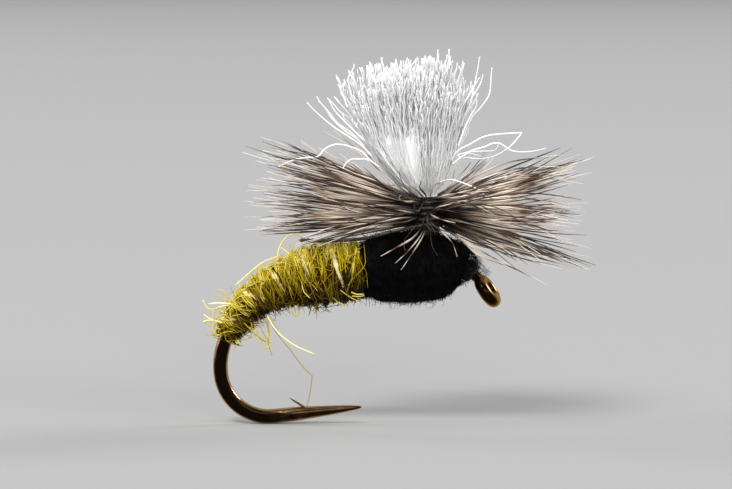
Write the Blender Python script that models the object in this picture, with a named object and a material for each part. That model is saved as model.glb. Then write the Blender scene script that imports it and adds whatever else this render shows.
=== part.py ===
"""A parachute dry fly on a short curved hook: metres, +Z up, +X towards the hook's eye.

The origin is the centre of the hook's eye. The shank and its dressing are placed by their distance
along the hook's centreline, which lies in the XZ plane and runs from the eye to the point. The wing
post and the feather wound round it are placed by their height on the post.
"""

import math

import bmesh
import bpy
from mathutils import Matrix, Vector, noise

MM = 0.001

# Gap between neighbouring pieces. It is small because the wire itself is under half a millimetre.
GAP = 0.02 * MM

# Hook. Each arc of the centreline is (length, turn in degrees), from the eye to the point.
EYE_RING_RADIUS = 0.44 * MM
EYE_WIRE_RADIUS = 0.23 * MM
EYE_TILT = 55.0
# The ring is bent a little out of square with the hook's plane.
EYE_TWIST = 12.0
WIRE_RADIUS = 0.26 * MM
NECK_RADIUS = 0.21 * MM
NECK_TAPER = 0.60 * MM
FORGED_HALF_HEIGHT = 0.27 * MM
FORGED_HALF_WIDTH = 0.22 * MM
FORGED_START = 10.90 * MM
FORGED_END = 14.60 * MM
FORGED_BLEND = 0.40 * MM
POINT_TAPER_START = 15.20 * MM
POINT_TAPER_POWER = 0.55
POINT_RADIUS = 0.012 * MM
HOOK_ARCS = (
    (1.25 * MM, 55.0),
    (5.50 * MM, 9.0),
    (4.10 * MM, 67.0),
    (0.97 * MM, 22.0),
    (2.68 * MM, 88.0),
    (3.24 * MM, 0.0),
)
HOOK_LENGTH = sum(length for length, turn in HOOK_ARCS)
HOOK_SIDES = 16
HOOK_LONGEST_STEP = 0.80 * MM
HOOK_SHORTEST_STEP = 0.40 * MM
HOOK_STEP_TURN = 5.5
BARB_ROOT = 15.92 * MM
BARB_LENGTH = 1.00 * MM
BARB_LIFT = 38.0
BARB_HALF_WIDTH = 0.13 * MM
BARB_HALF_THICKNESS = 0.06 * MM

# Tying thread.
THREAD_PITCH = 0.48 * MM
THREAD_DEPTH = 0.03 * MM
THREAD_SIDES = 14
UNDERBODY_START = 0.80 * MM
UNDERBODY_END = 10.15 * MM
UNDERBODY_RADIUS = 0.33 * MM
HEAD_START = 0.36 * MM
HEAD_END = 0.76 * MM
HEAD_RADIUS = 0.41 * MM
TIE_THICKNESS = 0.07 * MM
FRONT_TIE = (1.35 * MM, 1.75 * MM)
REAR_TIE = (2.80 * MM, 3.25 * MM)

# The yarn is laid along the top of the shank, turns up through the thorax and flares into the post.
YARN_OFFSET = 0.46 * MM
YARN_HALF_THICKNESS = 0.10 * MM
YARN_HALF_WIDTH = 0.25 * MM
# A band round the shank and the yarn together is centred this far above the shank.
YARN_TIE_LIFT = 0.13 * MM
YARN_BUTT_START = 6.20 * MM
YARN_BUTT_END = 2.48 * MM
YARN_TURN_RADIUS = 0.35 * MM
POST_RADIUS = 0.34 * MM
POST_NECK_TOP = 3.50 * MM
# Above the neck: (height, centre in X, half-width in X).
POST_FLARE = (
    (3.62 * MM, -2.26 * MM, 0.42 * MM),
    (3.90 * MM, -2.42 * MM, 0.82 * MM),
    (4.50 * MM, -2.62 * MM, 1.25 * MM),
    (5.25 * MM, -2.76 * MM, 1.60 * MM),
    (6.20 * MM, -2.86 * MM, 1.98 * MM),
    (7.15 * MM, -2.95 * MM, 2.36 * MM),
    (7.70 * MM, -2.90 * MM, 2.30 * MM),
    (8.15 * MM, -2.72 * MM, 1.75 * MM),
    (8.42 * MM, -2.60 * MM, 0.90 * MM),
)
POST_DEPTH_SHARE = 0.82
POST_FLUTES = 9
POST_FLUTE_DEPTH = 0.05

# Thread wound round the foot of the post, which stiffens it.
POST_WRAP_BOTTOM = 1.75 * MM
POST_WRAP_TOP = 3.46 * MM
POST_WRAP_RADIUS = 0.46 * MM
THORAX_OPENING_RADIUS = 0.50 * MM

# Dubbing. Outlines are (distance along the hook, radius).
ABDOMEN_OUTLINE = (
    (4.42 * MM, 1.00 * MM),
    (5.20 * MM, 1.08 * MM),
    (6.20 * MM, 1.11 * MM),
    (7.00 * MM, 0.94 * MM),
    (7.80 * MM, 0.76 * MM),
    (8.60 * MM, 0.65 * MM),
    (9.40 * MM, 0.57 * MM),
    (10.00 * MM, 0.48 * MM),
    (10.40 * MM, 0.38 * MM),
)
ABDOMEN_SAG = 0.07 * MM
ABDOMEN_SIDES = 20
ABDOMEN_STEP = 0.095 * MM
ROPE_STARTS = 3
ROPE_PITCH = 1.075 * MM
ROPE_PHASE = 0.41 * MM
ROPE_GROOVE = 0.17 * MM
RIB_RADIUS = 0.06 * MM
RIB_GAP = 0.05 * MM
RIB_POINTS_PER_TURN = 13
RIB_ENDS = (4.62 * MM, 9.95 * MM)
THORAX_OUTLINE = (
    (0.80 * MM, 0.66 * MM),
    (1.15 * MM, 0.92 * MM),
    (1.75 * MM, 1.17 * MM),
    (2.50 * MM, 1.28 * MM),
    (3.30 * MM, 1.24 * MM),
    (4.00 * MM, 1.10 * MM),
    (4.36 * MM, 0.95 * MM),
)
THORAX_SIDES = 20
THORAX_STEP = 0.20 * MM
THORAX_LUMP = 0.05 * MM
THORAX_LUMP_SIZE = 0.55 * MM

# Hackle: the feather's quill is wound up the post, and its barbs stand out all round it.
QUILL_RADIUS = 0.07 * MM
QUILL_TIP_SHARE = 0.6
COIL_RADIUS = POST_WRAP_RADIUS + GAP + QUILL_RADIUS + 0.01 * MM
COIL_BOTTOM = 2.45 * MM
COIL_PITCH = 0.20 * MM
COIL_TURNS = 4.5
COIL_POINTS_PER_TURN = 14
# The bare end of the quill, from its cut end behind the thorax to the first turn of the coil.
QUILL_BUTT = (
    (-6.80 * MM, -0.36 * MM, 1.86 * MM),
    (-5.60 * MM, -0.38 * MM, 1.86 * MM),
    (-4.40 * MM, -0.42 * MM, 1.95 * MM),
    (-3.40 * MM, -0.50 * MM, 2.20 * MM),
    (-2.75 * MM, -0.56 * MM, 2.36 * MM),
)
BARB_CLUMPS = 24
BARB_TURN = 360.0 / BARB_CLUMPS
BARB_LAYERS = 3
BARB_ROOT_RADIUS = COIL_RADIUS + QUILL_RADIUS + GAP
BARB_ROOT_BOTTOM = 2.56 * MM
BARB_LAYER_RISE = 0.34 * MM
BARB_REACH_BACK = 6.30 * MM
BARB_REACH_FRONT = 5.75 * MM
BARB_SPREAD_BACK = (-4.0, 5.0, 15.0)
BARB_SPREAD_FRONT = (-17.0, -2.0, 12.0)
BARB_HALF_SPREAD = 10.5
BARB_NEAR_HALF_SPREAD = 6.0
BARB_DEPTHS = (0.05 * MM, 0.12 * MM, 0.19 * MM, 0.15 * MM, 0.03 * MM)
BARB_STATIONS = (0.0, 0.28, 0.62, 0.88, 1.0)
BARB_WIDTHS = (1.0, 1.0, 1.0, 0.72, 0.20)
BARB_BOW = 0.16 * MM
BARB_SIDES = 6

# The tuft of grey fluff behind the eye.
FLUFF_CENTRE = (-0.20 * MM, -0.05 * MM, 0.90 * MM)
FLUFF_RADIUS = 0.17 * MM

# Colour, roughness and metallic value of each sub-part.
BRONZE = ((0.10, 0.065, 0.03), 0.32, 1.0)
BLACK_THREAD = ((0.012, 0.011, 0.012), 0.55, 0.0)
BLACK_FUR = ((0.008, 0.008, 0.009), 0.90, 0.0)
OLIVE_FUR = ((0.42, 0.38, 0.03), 0.85, 0.0)
CREAM_RIB = ((0.72, 0.66, 0.36), 0.60, 0.0)
WHITE_YARN = ((0.86, 0.86, 0.88), 0.65, 0.0)
QUILL_BROWN = ((0.10, 0.07, 0.05), 0.45, 0.0)
GRIZZLY = ((0.46, 0.38, 0.33), 0.60, 0.0)
GREY_FLUFF = ((0.45, 0.46, 0.50), 0.85, 0.0)


def arc_point(x, z, heading, length, curvature):
    """The point and heading after a length of arc that starts at (x, z)."""
    end = heading + curvature * length
    if abs(curvature) < 1e-9:
        return x + length * math.cos(heading), z + length * math.sin(heading), end
    dx = (math.sin(end) - math.sin(heading)) / curvature
    dz = (math.cos(heading) - math.cos(end)) / curvature
    return x + dx, z + dz, end


def hook_frame(distance):
    """(centre, outward, sideways) of the hook's centreline. Outward is up on the shank."""
    x = -EYE_RING_RADIUS * math.cos(math.radians(EYE_TILT))
    z = EYE_RING_RADIUS * math.sin(math.radians(EYE_TILT))
    heading = math.radians(180.0 - EYE_TILT)
    left = distance
    for length, turn in HOOK_ARCS:
        step = min(left, length)
        x, z, heading = arc_point(x, z, heading, step, math.radians(turn) / length)
        left -= step
        if left <= 0.0:
            break
    return Vector((x, 0, z)), Vector((math.sin(heading), 0, -math.cos(heading))), Vector((0, 1, 0))


def post_frame(height):
    """(centre, forward, sideways) of the post's neck at a height."""
    return Vector((post_x(), 0, height)), Vector((1, 0, 0)), Vector((0, 1, 0))


def post_x():
    return hook_frame(YARN_BUTT_END)[0].x + YARN_TURN_RADIUS


def smooth_step(value, low, high):
    share = min(max((value - low) / (high - low), 0.0), 1.0)
    return share * share * (3.0 - 2.0 * share)


def along(outline, value):
    """The outline's second value at a distance, eased between its points."""
    if value <= outline[0][0]:
        return outline[0][1]
    for (low, first), (high, second) in zip(outline, outline[1:]):
        if value <= high:
            straight = (value - low) / (high - low)
            eased = 0.6 * straight + 0.4 * smooth_step(value, low, high)
            return first + (second - first) * eased
    return outline[-1][1]


def spaced(low, high, step):
    count = max(1, round((high - low) / step))
    return [low + (high - low) * i / count for i in range(count + 1)]


def principled(name, look):
    colour, roughness, metallic = look
    material = bpy.data.materials.new(name)
    material.use_nodes = True
    shader = material.node_tree.nodes["Principled BSDF"]
    shader.inputs["Base Color"].default_value = (*colour, 1.0)
    shader.inputs["Roughness"].default_value = roughness
    shader.inputs["Metallic"].default_value = metallic
    material.diffuse_color = (*colour, 1.0)
    return material


def add_object(name, data, look, collection):
    obj = bpy.data.objects.new(name, data)
    collection.objects.link(obj)
    if look:
        data.materials.append(principled(name, look))
    return obj


def ring(frame, half_out, half_side, sides, offset=0.0, flat=None, shape=None):
    """A closed outline round a centreline. Flat limits how far it reaches sideways."""
    centre, outward, sideways = frame
    points = []
    for i in range(sides):
        angle = 2.0 * math.pi * (i + 0.5) / sides
        share = shape(angle) if shape else 1.0
        out = half_out * math.cos(angle) * share + offset
        side = half_side * math.sin(angle) * share
        if flat is not None:
            side = min(max(side, -flat), flat)
        points.append(centre + outward * out + sideways * side)
    return points


def loft(name, outer, inner, look, collection):
    """A closed body through rings: solid with capped ends, or a tube where inner rings are given."""
    bm = bmesh.new()

    def skin(rings):
        for near, far in zip(rings, rings[1:]):
            for i in range(len(near)):
                j = (i + 1) % len(near)
                bm.faces.new((near[i], near[j], far[j], far[i]))

    outer_verts = [[bm.verts.new(point) for point in points] for points in outer]
    skin(outer_verts)
    if inner:
        inner_verts = [[bm.verts.new(point) for point in points] for points in inner]
        skin(inner_verts)
        skin([outer_verts[0], inner_verts[0]])
        skin([outer_verts[-1], inner_verts[-1]])
    else:
        bm.faces.new(outer_verts[0])
        bm.faces.new(outer_verts[-1])
    bmesh.ops.recalc_face_normals(bm, faces=bm.faces)
    mesh = bpy.data.meshes.new(name)
    bm.to_mesh(mesh)
    bm.free()
    mesh.shade_smooth()
    mesh.set_sharp_from_angle(angle=math.radians(40.0))
    return add_object(name, mesh, look, collection)


def as_cutter(obj):
    obj.hide_render = True
    obj.display_type = "WIRE"
    return obj


def boolean(obj, other, operation):
    modifier = obj.modifiers.new(other.name, "BOOLEAN")
    modifier.object = other
    modifier.operation = operation
    modifier.solver = "EXACT"


def wound_ring(frame, radius, sides, distance, pitch, starts, depth, offset=0.0):
    """A ring whose radius rises and falls round it, so that rings in a row make wound strands."""
    turn = 2.0 * math.pi * distance / pitch

    def shape(angle):
        return 1.0 - depth / radius * 0.5 * (1.0 - math.cos(starts * (angle - turn)))

    return ring(frame, radius, radius, sides, offset=offset, shape=shape)


def wire_radius(distance):
    """Half the wire's height and half its width, before the forged flats."""
    neck = smooth_step(distance, 0.0, NECK_TAPER)
    radius = NECK_RADIUS + (WIRE_RADIUS - NECK_RADIUS) * neck
    if distance > POINT_TAPER_START:
        share = (distance - POINT_TAPER_START) / (HOOK_LENGTH - POINT_TAPER_START)
        radius = POINT_RADIUS + (WIRE_RADIUS - POINT_RADIUS) * (1.0 - share) ** POINT_TAPER_POWER
    forged = forging(distance)
    return radius + (FORGED_HALF_HEIGHT - WIRE_RADIUS) * forged, radius


def forging(distance):
    """1 along the flattened bend, 0 on the round wire."""
    start = smooth_step(distance, FORGED_START - FORGED_BLEND, FORGED_START)
    return start * (1.0 - smooth_step(distance, FORGED_END, FORGED_END + FORGED_BLEND))


def hook_stations():
    stations = [0.0]
    for length, turn in HOOK_ARCS:
        longest = HOOK_LONGEST_STEP if turn else HOOK_SHORTEST_STEP
        steps = math.ceil(max(length / longest, turn / HOOK_STEP_TURN))
        stations += [stations[-1] + length * (i + 1) / steps for i in range(steps)]
    marks = (FORGED_START - FORGED_BLEND, FORGED_START, FORGED_END, FORGED_END + FORGED_BLEND)
    clear = HOOK_SHORTEST_STEP / 3
    kept = [s for s in stations if all(abs(s - mark) > clear for mark in marks)]
    return sorted(kept + list(marks))


def make_hook(parts, cutters):
    rings = []
    for distance in hook_stations():
        half_out, half_side = wire_radius(distance)
        flat = half_side - (WIRE_RADIUS - FORGED_HALF_WIDTH) * forging(distance)
        rings.append(ring(hook_frame(distance), half_out, half_side, HOOK_SIDES, flat=flat))
    hook = loft("hook", rings, None, BRONZE, parts)

    bpy.ops.mesh.primitive_torus_add(
        major_segments=28,
        minor_segments=12,
        major_radius=EYE_RING_RADIUS,
        minor_radius=EYE_WIRE_RADIUS,
        rotation=(math.radians(EYE_TWIST), math.radians(EYE_TILT), 0.0),
    )
    eye = bpy.context.object
    eye.name = "eye_ring"
    for collection in list(eye.users_collection):
        collection.objects.unlink(eye)
    cutters.objects.link(eye)
    boolean(hook, as_cutter(eye), "UNION")
    boolean(hook, as_cutter(make_barb(cutters)), "UNION")


def make_barb(cutters):
    """A thin blade cut up from the top of the spear, pointing back towards the bend."""
    root, outward, sideways = hook_frame(BARB_ROOT)
    backward = sideways.cross(outward)
    lift = math.radians(BARB_LIFT)
    direction = backward * math.cos(lift) - outward * math.sin(lift)
    thickness = direction.cross(sideways)
    rings = []
    for share, size in ((0.0, 1.0), (0.45, 0.9), (0.8, 0.6), (1.0, 0.2)):
        centre = root + direction * BARB_LENGTH * share
        frame = (centre, thickness, sideways)
        rings.append(ring(frame, BARB_HALF_THICKNESS * size, BARB_HALF_WIDTH * size, 8))
    return loft("barb_blade", rings, None, None, cutters)


def make_thread_tube(name, frame_of, ends, bore, radius, step, parts, offset=0.0):
    """A layer of thread wound on a core, between two distances along the core."""
    outer = [
        wound_ring(frame_of(s), radius, THREAD_SIDES, s, THREAD_PITCH, 1, THREAD_DEPTH, offset)
        for s in spaced(*ends, step)
    ]
    inner = [ring(frame_of(s), bore, bore, THREAD_SIDES, offset) for s in spaced(*ends, step * 3)]
    loft(name, outer, inner, BLACK_THREAD, parts)


def make_thread(parts):
    """The tying thread, which binds everything else to the wire and stiffens the post's foot."""
    wire_bore = WIRE_RADIUS + GAP
    front_bore = UNDERBODY_RADIUS + GAP
    rear_bore = UNDERBODY_RADIUS + GAP + YARN_TIE_LIFT
    post_bore = POST_RADIUS + GAP
    body = (UNDERBODY_START, UNDERBODY_END)
    head = (HEAD_START, HEAD_END)
    post = (POST_WRAP_BOTTOM, POST_WRAP_TOP)
    fine, coarse = 0.10 * MM, 0.24 * MM
    make_thread_tube("thread_underbody", hook_frame, body, wire_bore, UNDERBODY_RADIUS, coarse, parts)
    make_thread_tube("head_thread_wraps", hook_frame, head, wire_bore, HEAD_RADIUS, fine, parts)
    front_radius = front_bore + TIE_THICKNESS
    make_thread_tube("front_tie_wraps", hook_frame, FRONT_TIE, front_bore, front_radius, fine, parts)
    rear_radius = rear_bore + TIE_THICKNESS
    lift = YARN_TIE_LIFT
    make_thread_tube("rear_tie_wraps", hook_frame, REAR_TIE, rear_bore, rear_radius, fine, parts, lift)
    make_thread_tube("post_thread_wraps", post_frame, post, post_bore, POST_WRAP_RADIUS, fine, parts)


def yarn_spine():
    """(centre in XZ, half-thickness, half-width, fluting) from the cut end to the top of the post."""
    spine = []
    for distance in reversed(spaced(YARN_BUTT_END, YARN_BUTT_START, 0.6 * MM)):
        centre, outward, _ = hook_frame(distance)
        spine.append((centre + outward * YARN_OFFSET, YARN_HALF_THICKNESS, YARN_HALF_WIDTH, 0.0))
    corner = spine[-1][0] + Vector((0, 0, YARN_TURN_RADIUS))
    steps = 5
    for i in range(1, steps + 1):
        angle = math.radians(90.0) * i / steps
        share = i / steps
        point = corner + Vector((math.sin(angle), 0, -math.cos(angle))) * YARN_TURN_RADIUS
        thick = YARN_HALF_THICKNESS + (POST_RADIUS - YARN_HALF_THICKNESS) * share
        wide = YARN_HALF_WIDTH + (POST_RADIUS - YARN_HALF_WIDTH) * share
        spine.append((point, thick, wide, 0.0))
    spine.append((Vector((post_x(), 0, POST_WRAP_BOTTOM)), POST_RADIUS, POST_RADIUS, 0.0))
    spine.append((Vector((post_x(), 0, POST_NECK_TOP)), POST_RADIUS, POST_RADIUS, 0.0))
    for height, centre_x, half in POST_FLARE:
        fluting = smooth_step(height, POST_NECK_TOP, 5.0 * MM)
        deep = POST_RADIUS + (half - POST_RADIUS) * POST_DEPTH_SHARE
        spine.append((Vector((centre_x, 0, height)), half, deep, fluting))
    return spine


def make_post_yarn(parts):
    spine = yarn_spine()
    rings = []
    for i, (centre, half_thick, half_wide, fluting) in enumerate(spine):
        before = spine[max(i - 1, 0)][0]
        after = spine[min(i + 1, len(spine) - 1)][0]
        forward = (after - before).normalized()
        if centre.z > POST_WRAP_BOTTOM * 1.5:
            forward = Vector((0, 0, 1))
        across = Vector((0, 1, 0)).cross(forward)

        def shape(angle, depth=POST_FLUTE_DEPTH * fluting):
            return 1.0 + depth * math.cos(POST_FLUTES * angle)

        rings.append(ring((centre, across, Vector((0, 1, 0))), half_thick, half_wide, 22, shape=shape))
    loft("post_yarn", rings, None, WHITE_YARN, parts)


def make_abdomen(parts):
    low, high = ABDOMEN_OUTLINE[0][0], ABDOMEN_OUTLINE[-1][0]
    outer = []
    for distance in spaced(low, high, ABDOMEN_STEP):
        radius = along(ABDOMEN_OUTLINE, distance)
        depth = ROPE_GROOVE * groove_share(radius)
        outer.append(
            wound_ring(
                hook_frame(distance), radius, ABDOMEN_SIDES, distance - ROPE_PHASE, ROPE_PITCH,
                ROPE_STARTS, depth, -ABDOMEN_SAG * sag_share(distance),
            )
        )
    inner = []
    for distance in spaced(low, high, 0.5 * MM):
        yarn = 1.0 - smooth_step(distance, YARN_BUTT_START + GAP, YARN_BUTT_START + 0.5 * MM)
        core = UNDERBODY_RADIUS + GAP if distance < UNDERBODY_END + 0.1 * MM else WIRE_RADIUS + GAP
        wide = UNDERBODY_RADIUS + YARN_TIE_LIFT + GAP * 2
        bore = core + (wide - core) * yarn
        inner.append(ring(hook_frame(distance), bore, bore, ABDOMEN_SIDES, YARN_TIE_LIFT * yarn))
    loft("abdomen_dubbing", outer, inner, OLIVE_FUR, parts)


def sag_share(distance):
    """The rope of dubbing lies a little towards the inside of the curve behind the shank's top."""
    return smooth_step(distance, 6.0 * MM, 7.5 * MM) * (1.0 - smooth_step(distance, 9.5 * MM, 10.3 * MM))


def groove_share(radius):
    return min(radius / (1.0 * MM), 1.0)


def make_rib(parts):
    """A pale strand lying in one of the rope's grooves."""
    low, high = RIB_ENDS
    points = []
    for distance in spaced(low, high, ROPE_PITCH / RIB_POINTS_PER_TURN):
        centre, outward, sideways = hook_frame(distance)
        angle = 2.0 * math.pi * (distance - ROPE_PHASE) / ROPE_PITCH + math.pi / ROPE_STARTS
        radius = along(ABDOMEN_OUTLINE, distance)
        radius += RIB_GAP + RIB_RADIUS - ROPE_GROOVE * groove_share(radius)
        offset = outward * (radius * math.cos(angle) - ABDOMEN_SAG * sag_share(distance))
        points.append(centre + offset + sideways * (radius * math.sin(angle)))
    make_strand("abdomen_rib", points, RIB_RADIUS, 1.0, CREAM_RIB, parts)


def make_strand(name, points, radius, end_share, look, parts):
    """A round strand through the points, its radius falling to end_share of itself."""
    curve = bpy.data.curves.new(name, "CURVE")
    curve.dimensions = "3D"
    curve.bevel_depth = radius
    curve.bevel_resolution = 2
    curve.use_fill_caps = True
    spline = curve.splines.new("POLY")
    spline.points.add(len(points) - 1)
    for i, (slot, point) in enumerate(zip(spline.points, points)):
        slot.co = (*point, 1.0)
        slot.radius = 1.0 - (1.0 - end_share) * i / (len(points) - 1)
    add_object(name, curve, look, parts)


def make_thorax(parts, cutters):
    low, high = THORAX_OUTLINE[0][0], THORAX_OUTLINE[-1][0]
    outer = []
    for distance in spaced(low, high, THORAX_STEP):
        radius = along(THORAX_OUTLINE, distance)

        def shape(angle, radius=radius, distance=distance):
            place = Vector((distance, radius * math.cos(angle), radius * math.sin(angle)))
            return 1.0 + THORAX_LUMP / radius * noise.noise(place / THORAX_LUMP_SIZE)

        outer.append(ring(hook_frame(distance), radius, radius, THORAX_SIDES, shape=shape))
    inner = []
    wide = UNDERBODY_RADIUS + YARN_TIE_LIFT + TIE_THICKNESS + GAP * 3
    narrow = UNDERBODY_RADIUS + GAP
    for distance in spaced(low, high, 0.3 * MM):
        share = smooth_step(distance, FRONT_TIE[0] - 0.5 * MM, FRONT_TIE[0] - 0.05 * MM)
        bore = narrow + (wide - narrow) * share
        inner.append(ring(hook_frame(distance), bore, bore, THORAX_SIDES, YARN_TIE_LIFT * share))
    thorax = loft("thorax_dubbing", outer, inner, BLACK_FUR, parts)

    top = 3.0 * MM
    bottom = 1.35 * MM
    bpy.ops.mesh.primitive_cylinder_add(
        vertices=24,
        radius=THORAX_OPENING_RADIUS,
        depth=top - bottom,
        location=(post_x(), 0.0, (top + bottom) / 2),
    )
    opening = bpy.context.object
    opening.name = "post_opening"
    for collection in list(opening.users_collection):
        collection.objects.unlink(opening)
    cutters.objects.link(opening)
    boolean(thorax, as_cutter(opening), "DIFFERENCE")


def make_quill(parts):
    axis = Vector((post_x(), 0, 0))
    points = [Vector(point) for point in QUILL_BUTT]
    count = round(COIL_TURNS * COIL_POINTS_PER_TURN)
    for i in range(count + 1):
        turns = i / COIL_POINTS_PER_TURN
        angle = 2.0 * math.pi * turns - math.pi / 2
        side = Vector((math.cos(angle), math.sin(angle), 0)) * COIL_RADIUS
        points.append(axis + side + Vector((0, 0, COIL_BOTTOM + COIL_PITCH * turns)))
    make_strand("hackle_quill", points, QUILL_RADIUS, QUILL_TIP_SHARE, QUILL_BROWN, parts)


def make_barb_clump(index, parts):
    """A clump of the feather's barbs: one tapering blade, standing out from the coiled quill."""
    azimuth = math.radians(BARB_TURN * index)
    layer = index % BARB_LAYERS
    front = 0.5 + 0.5 * math.cos(azimuth)
    near = max(0.0, -math.sin(azimuth)) ** 4
    reach = BARB_REACH_BACK + (BARB_REACH_FRONT - BARB_REACH_BACK) * front
    back_rise, front_rise = BARB_SPREAD_BACK[layer], BARB_SPREAD_FRONT[layer]
    rise = math.radians(back_rise + (front_rise - back_rise) * front)
    half_spread = BARB_HALF_SPREAD + (BARB_NEAR_HALF_SPREAD - BARB_HALF_SPREAD) * near
    out = Vector((math.cos(azimuth), math.sin(azimuth), 0))
    sideways = Vector((-math.sin(azimuth), math.cos(azimuth), 0))
    root_height = BARB_ROOT_BOTTOM + BARB_LAYER_RISE * layer
    rings = []
    for share, width, depth in zip(BARB_STATIONS, BARB_WIDTHS, BARB_DEPTHS):
        distance = BARB_ROOT_RADIUS + (reach - BARB_ROOT_RADIUS) * share
        height = (distance - BARB_ROOT_RADIUS) * math.tan(rise) - BARB_BOW * math.sin(math.pi * share)
        centre = Vector((post_x(), 0, root_height + height)) + out * distance
        half_width = distance * math.tan(math.radians(half_spread)) * width
        rings.append(ring((centre, Vector((0, 0, 1)), sideways), depth, half_width, BARB_SIDES))
    loft(f"hackle_barbs_{index + 1:02d}", rings, None, GRIZZLY, parts)


def make_fluff(parts):
    bm = bmesh.new()
    bmesh.ops.create_icosphere(bm, subdivisions=2, radius=FLUFF_RADIUS)
    for vert in bm.verts:
        vert.co *= 1.0 + 0.25 * noise.noise(vert.co / FLUFF_RADIUS * 1.7)
    mesh = bpy.data.meshes.new("head_fluff")
    bmesh.ops.transform(bm, matrix=Matrix.Translation(FLUFF_CENTRE), verts=bm.verts)
    bm.to_mesh(mesh)
    bm.free()
    mesh.shade_smooth()
    add_object("head_fluff", mesh, GREY_FLUFF, parts)


def main():
    for obj in list(bpy.data.objects):
        bpy.data.objects.remove(obj, do_unlink=True)
    parts = bpy.data.collections.new("dry_fly")
    cutters = bpy.data.collections.new("cutters")
    bpy.context.scene.collection.children.link(parts)
    bpy.context.scene.collection.children.link(cutters)

    make_hook(parts, cutters)
    make_thread(parts)
    make_post_yarn(parts)
    make_abdomen(parts)
    make_rib(parts)
    make_thorax(parts, cutters)
    make_quill(parts)
    for index in range(BARB_CLUMPS):
        make_barb_clump(index, parts)
    make_fluff(parts)


main()
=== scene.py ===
"""Looks of a parachute dry fly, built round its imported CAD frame: metres, +Z up, +X towards the eye."""

import math

import bmesh
import bpy
import numpy as np
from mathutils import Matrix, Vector
from mathutils.bvhtree import BVHTree


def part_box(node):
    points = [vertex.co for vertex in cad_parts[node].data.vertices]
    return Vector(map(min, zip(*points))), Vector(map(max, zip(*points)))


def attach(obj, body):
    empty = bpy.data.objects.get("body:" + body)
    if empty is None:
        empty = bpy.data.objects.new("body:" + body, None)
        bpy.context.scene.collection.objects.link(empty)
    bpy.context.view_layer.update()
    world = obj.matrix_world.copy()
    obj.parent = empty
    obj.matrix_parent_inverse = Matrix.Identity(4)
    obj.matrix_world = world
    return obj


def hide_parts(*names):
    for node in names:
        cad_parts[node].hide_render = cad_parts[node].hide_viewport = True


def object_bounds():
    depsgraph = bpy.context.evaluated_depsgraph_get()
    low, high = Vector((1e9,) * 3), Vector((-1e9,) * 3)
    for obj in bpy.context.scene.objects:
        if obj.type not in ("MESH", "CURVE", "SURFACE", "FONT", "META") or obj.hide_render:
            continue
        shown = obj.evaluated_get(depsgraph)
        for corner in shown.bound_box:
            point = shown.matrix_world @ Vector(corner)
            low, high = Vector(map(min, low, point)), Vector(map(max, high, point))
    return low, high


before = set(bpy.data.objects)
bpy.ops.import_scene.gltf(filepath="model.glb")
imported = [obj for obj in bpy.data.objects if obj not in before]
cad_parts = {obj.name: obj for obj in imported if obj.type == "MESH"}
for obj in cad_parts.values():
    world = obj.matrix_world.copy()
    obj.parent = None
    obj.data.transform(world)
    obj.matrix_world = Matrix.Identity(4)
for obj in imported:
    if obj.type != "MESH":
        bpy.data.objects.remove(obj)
CAD_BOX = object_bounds()

MM = 0.001
GOLDEN_ANGLE = math.pi * (3.0 - math.sqrt(5.0))
TAU = 2.0 * math.pi
SIDEWAYS = np.array([0.0, 1.0, 0.0])
BLACK = (0.0, 0.0, 0.0)
WHITE = (1.0, 1.0, 1.0)

# The hook: its ring eye, the wire with a finer neck behind the eye, the forged bend, the point and the
# barb. Places on it are distances along the centreline from the eye. Angles are in degrees.
EYE_RING_RADIUS = 0.44 * MM
EYE_WIRE_RADIUS = 0.23 * MM
EYE_TILT = 55.0
EYE_TWIST = 12.0
WIRE_RADIUS = 0.26 * MM
NECK_RADIUS = 0.21 * MM
NECK_TAPER = 0.60 * MM
FORGED_HALF_HEIGHT = 0.27 * MM
FORGED_HALF_WIDTH = 0.22 * MM
FORGED_START = 10.90 * MM
FORGED_END = 14.60 * MM
FORGED_BLEND = 0.40 * MM
POINT_TAPER_START = 15.20 * MM
POINT_TAPER_POWER = 0.55
POINT_RADIUS = 0.008 * MM
WIRE_SIDES = 32
FINE_RANGE = (10.4 * MM, 15.0 * MM)
BARB_ROOT = 15.92 * MM
BARB_LENGTH = 1.00 * MM
BARB_LIFT = 38.0
BARB_RADIUS = 0.125 * MM
# Painted highlight on the wire: the share of it that the eye keeps, and how much more the spear gets below a
# height and between two X values.
EYE_HIGHLIGHT_SHARE = 0.72
SPEAR_HIGHLIGHT = 0.26
SPEAR_TOP = -3.4 * MM
SPEAR_HIGHLIGHT_RANGE = (-8.4 * MM, -7.2 * MM)
# Its centreline from the eye to the point, as arcs of (length, turn).
HOOK_ARCS = (
    (1.25 * MM, 55.0),
    (5.50 * MM, 9.0),
    (4.10 * MM, 67.0),
    (0.97 * MM, 22.0),
    (2.68 * MM, 88.0),
    (3.24 * MM, 0.0),
)
HOOK_LENGTH = sum(length for length, _ in HOOK_ARCS)
STEPS_PER_ARC = 240
SPLINE_STEPS = 16

# Where along the shank the body's parts lie, and how its rope of dubbing and rib turn round it.
ABDOMEN_RANGE = (4.44 * MM, 10.38 * MM)
THORAX_RANGE = (0.82 * MM, 4.34 * MM)
HEAD_START = 0.44 * MM
HEAD_RADIUS = 0.40 * MM
RIB_RANGE = (4.62 * MM, 9.95 * MM)
ROPE_STARTS = 3
ROPE_PITCH = 1.075 * MM
ROPE_PHASE = 0.41 * MM


# ---------------------------------------------------------------- geometry helpers


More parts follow.
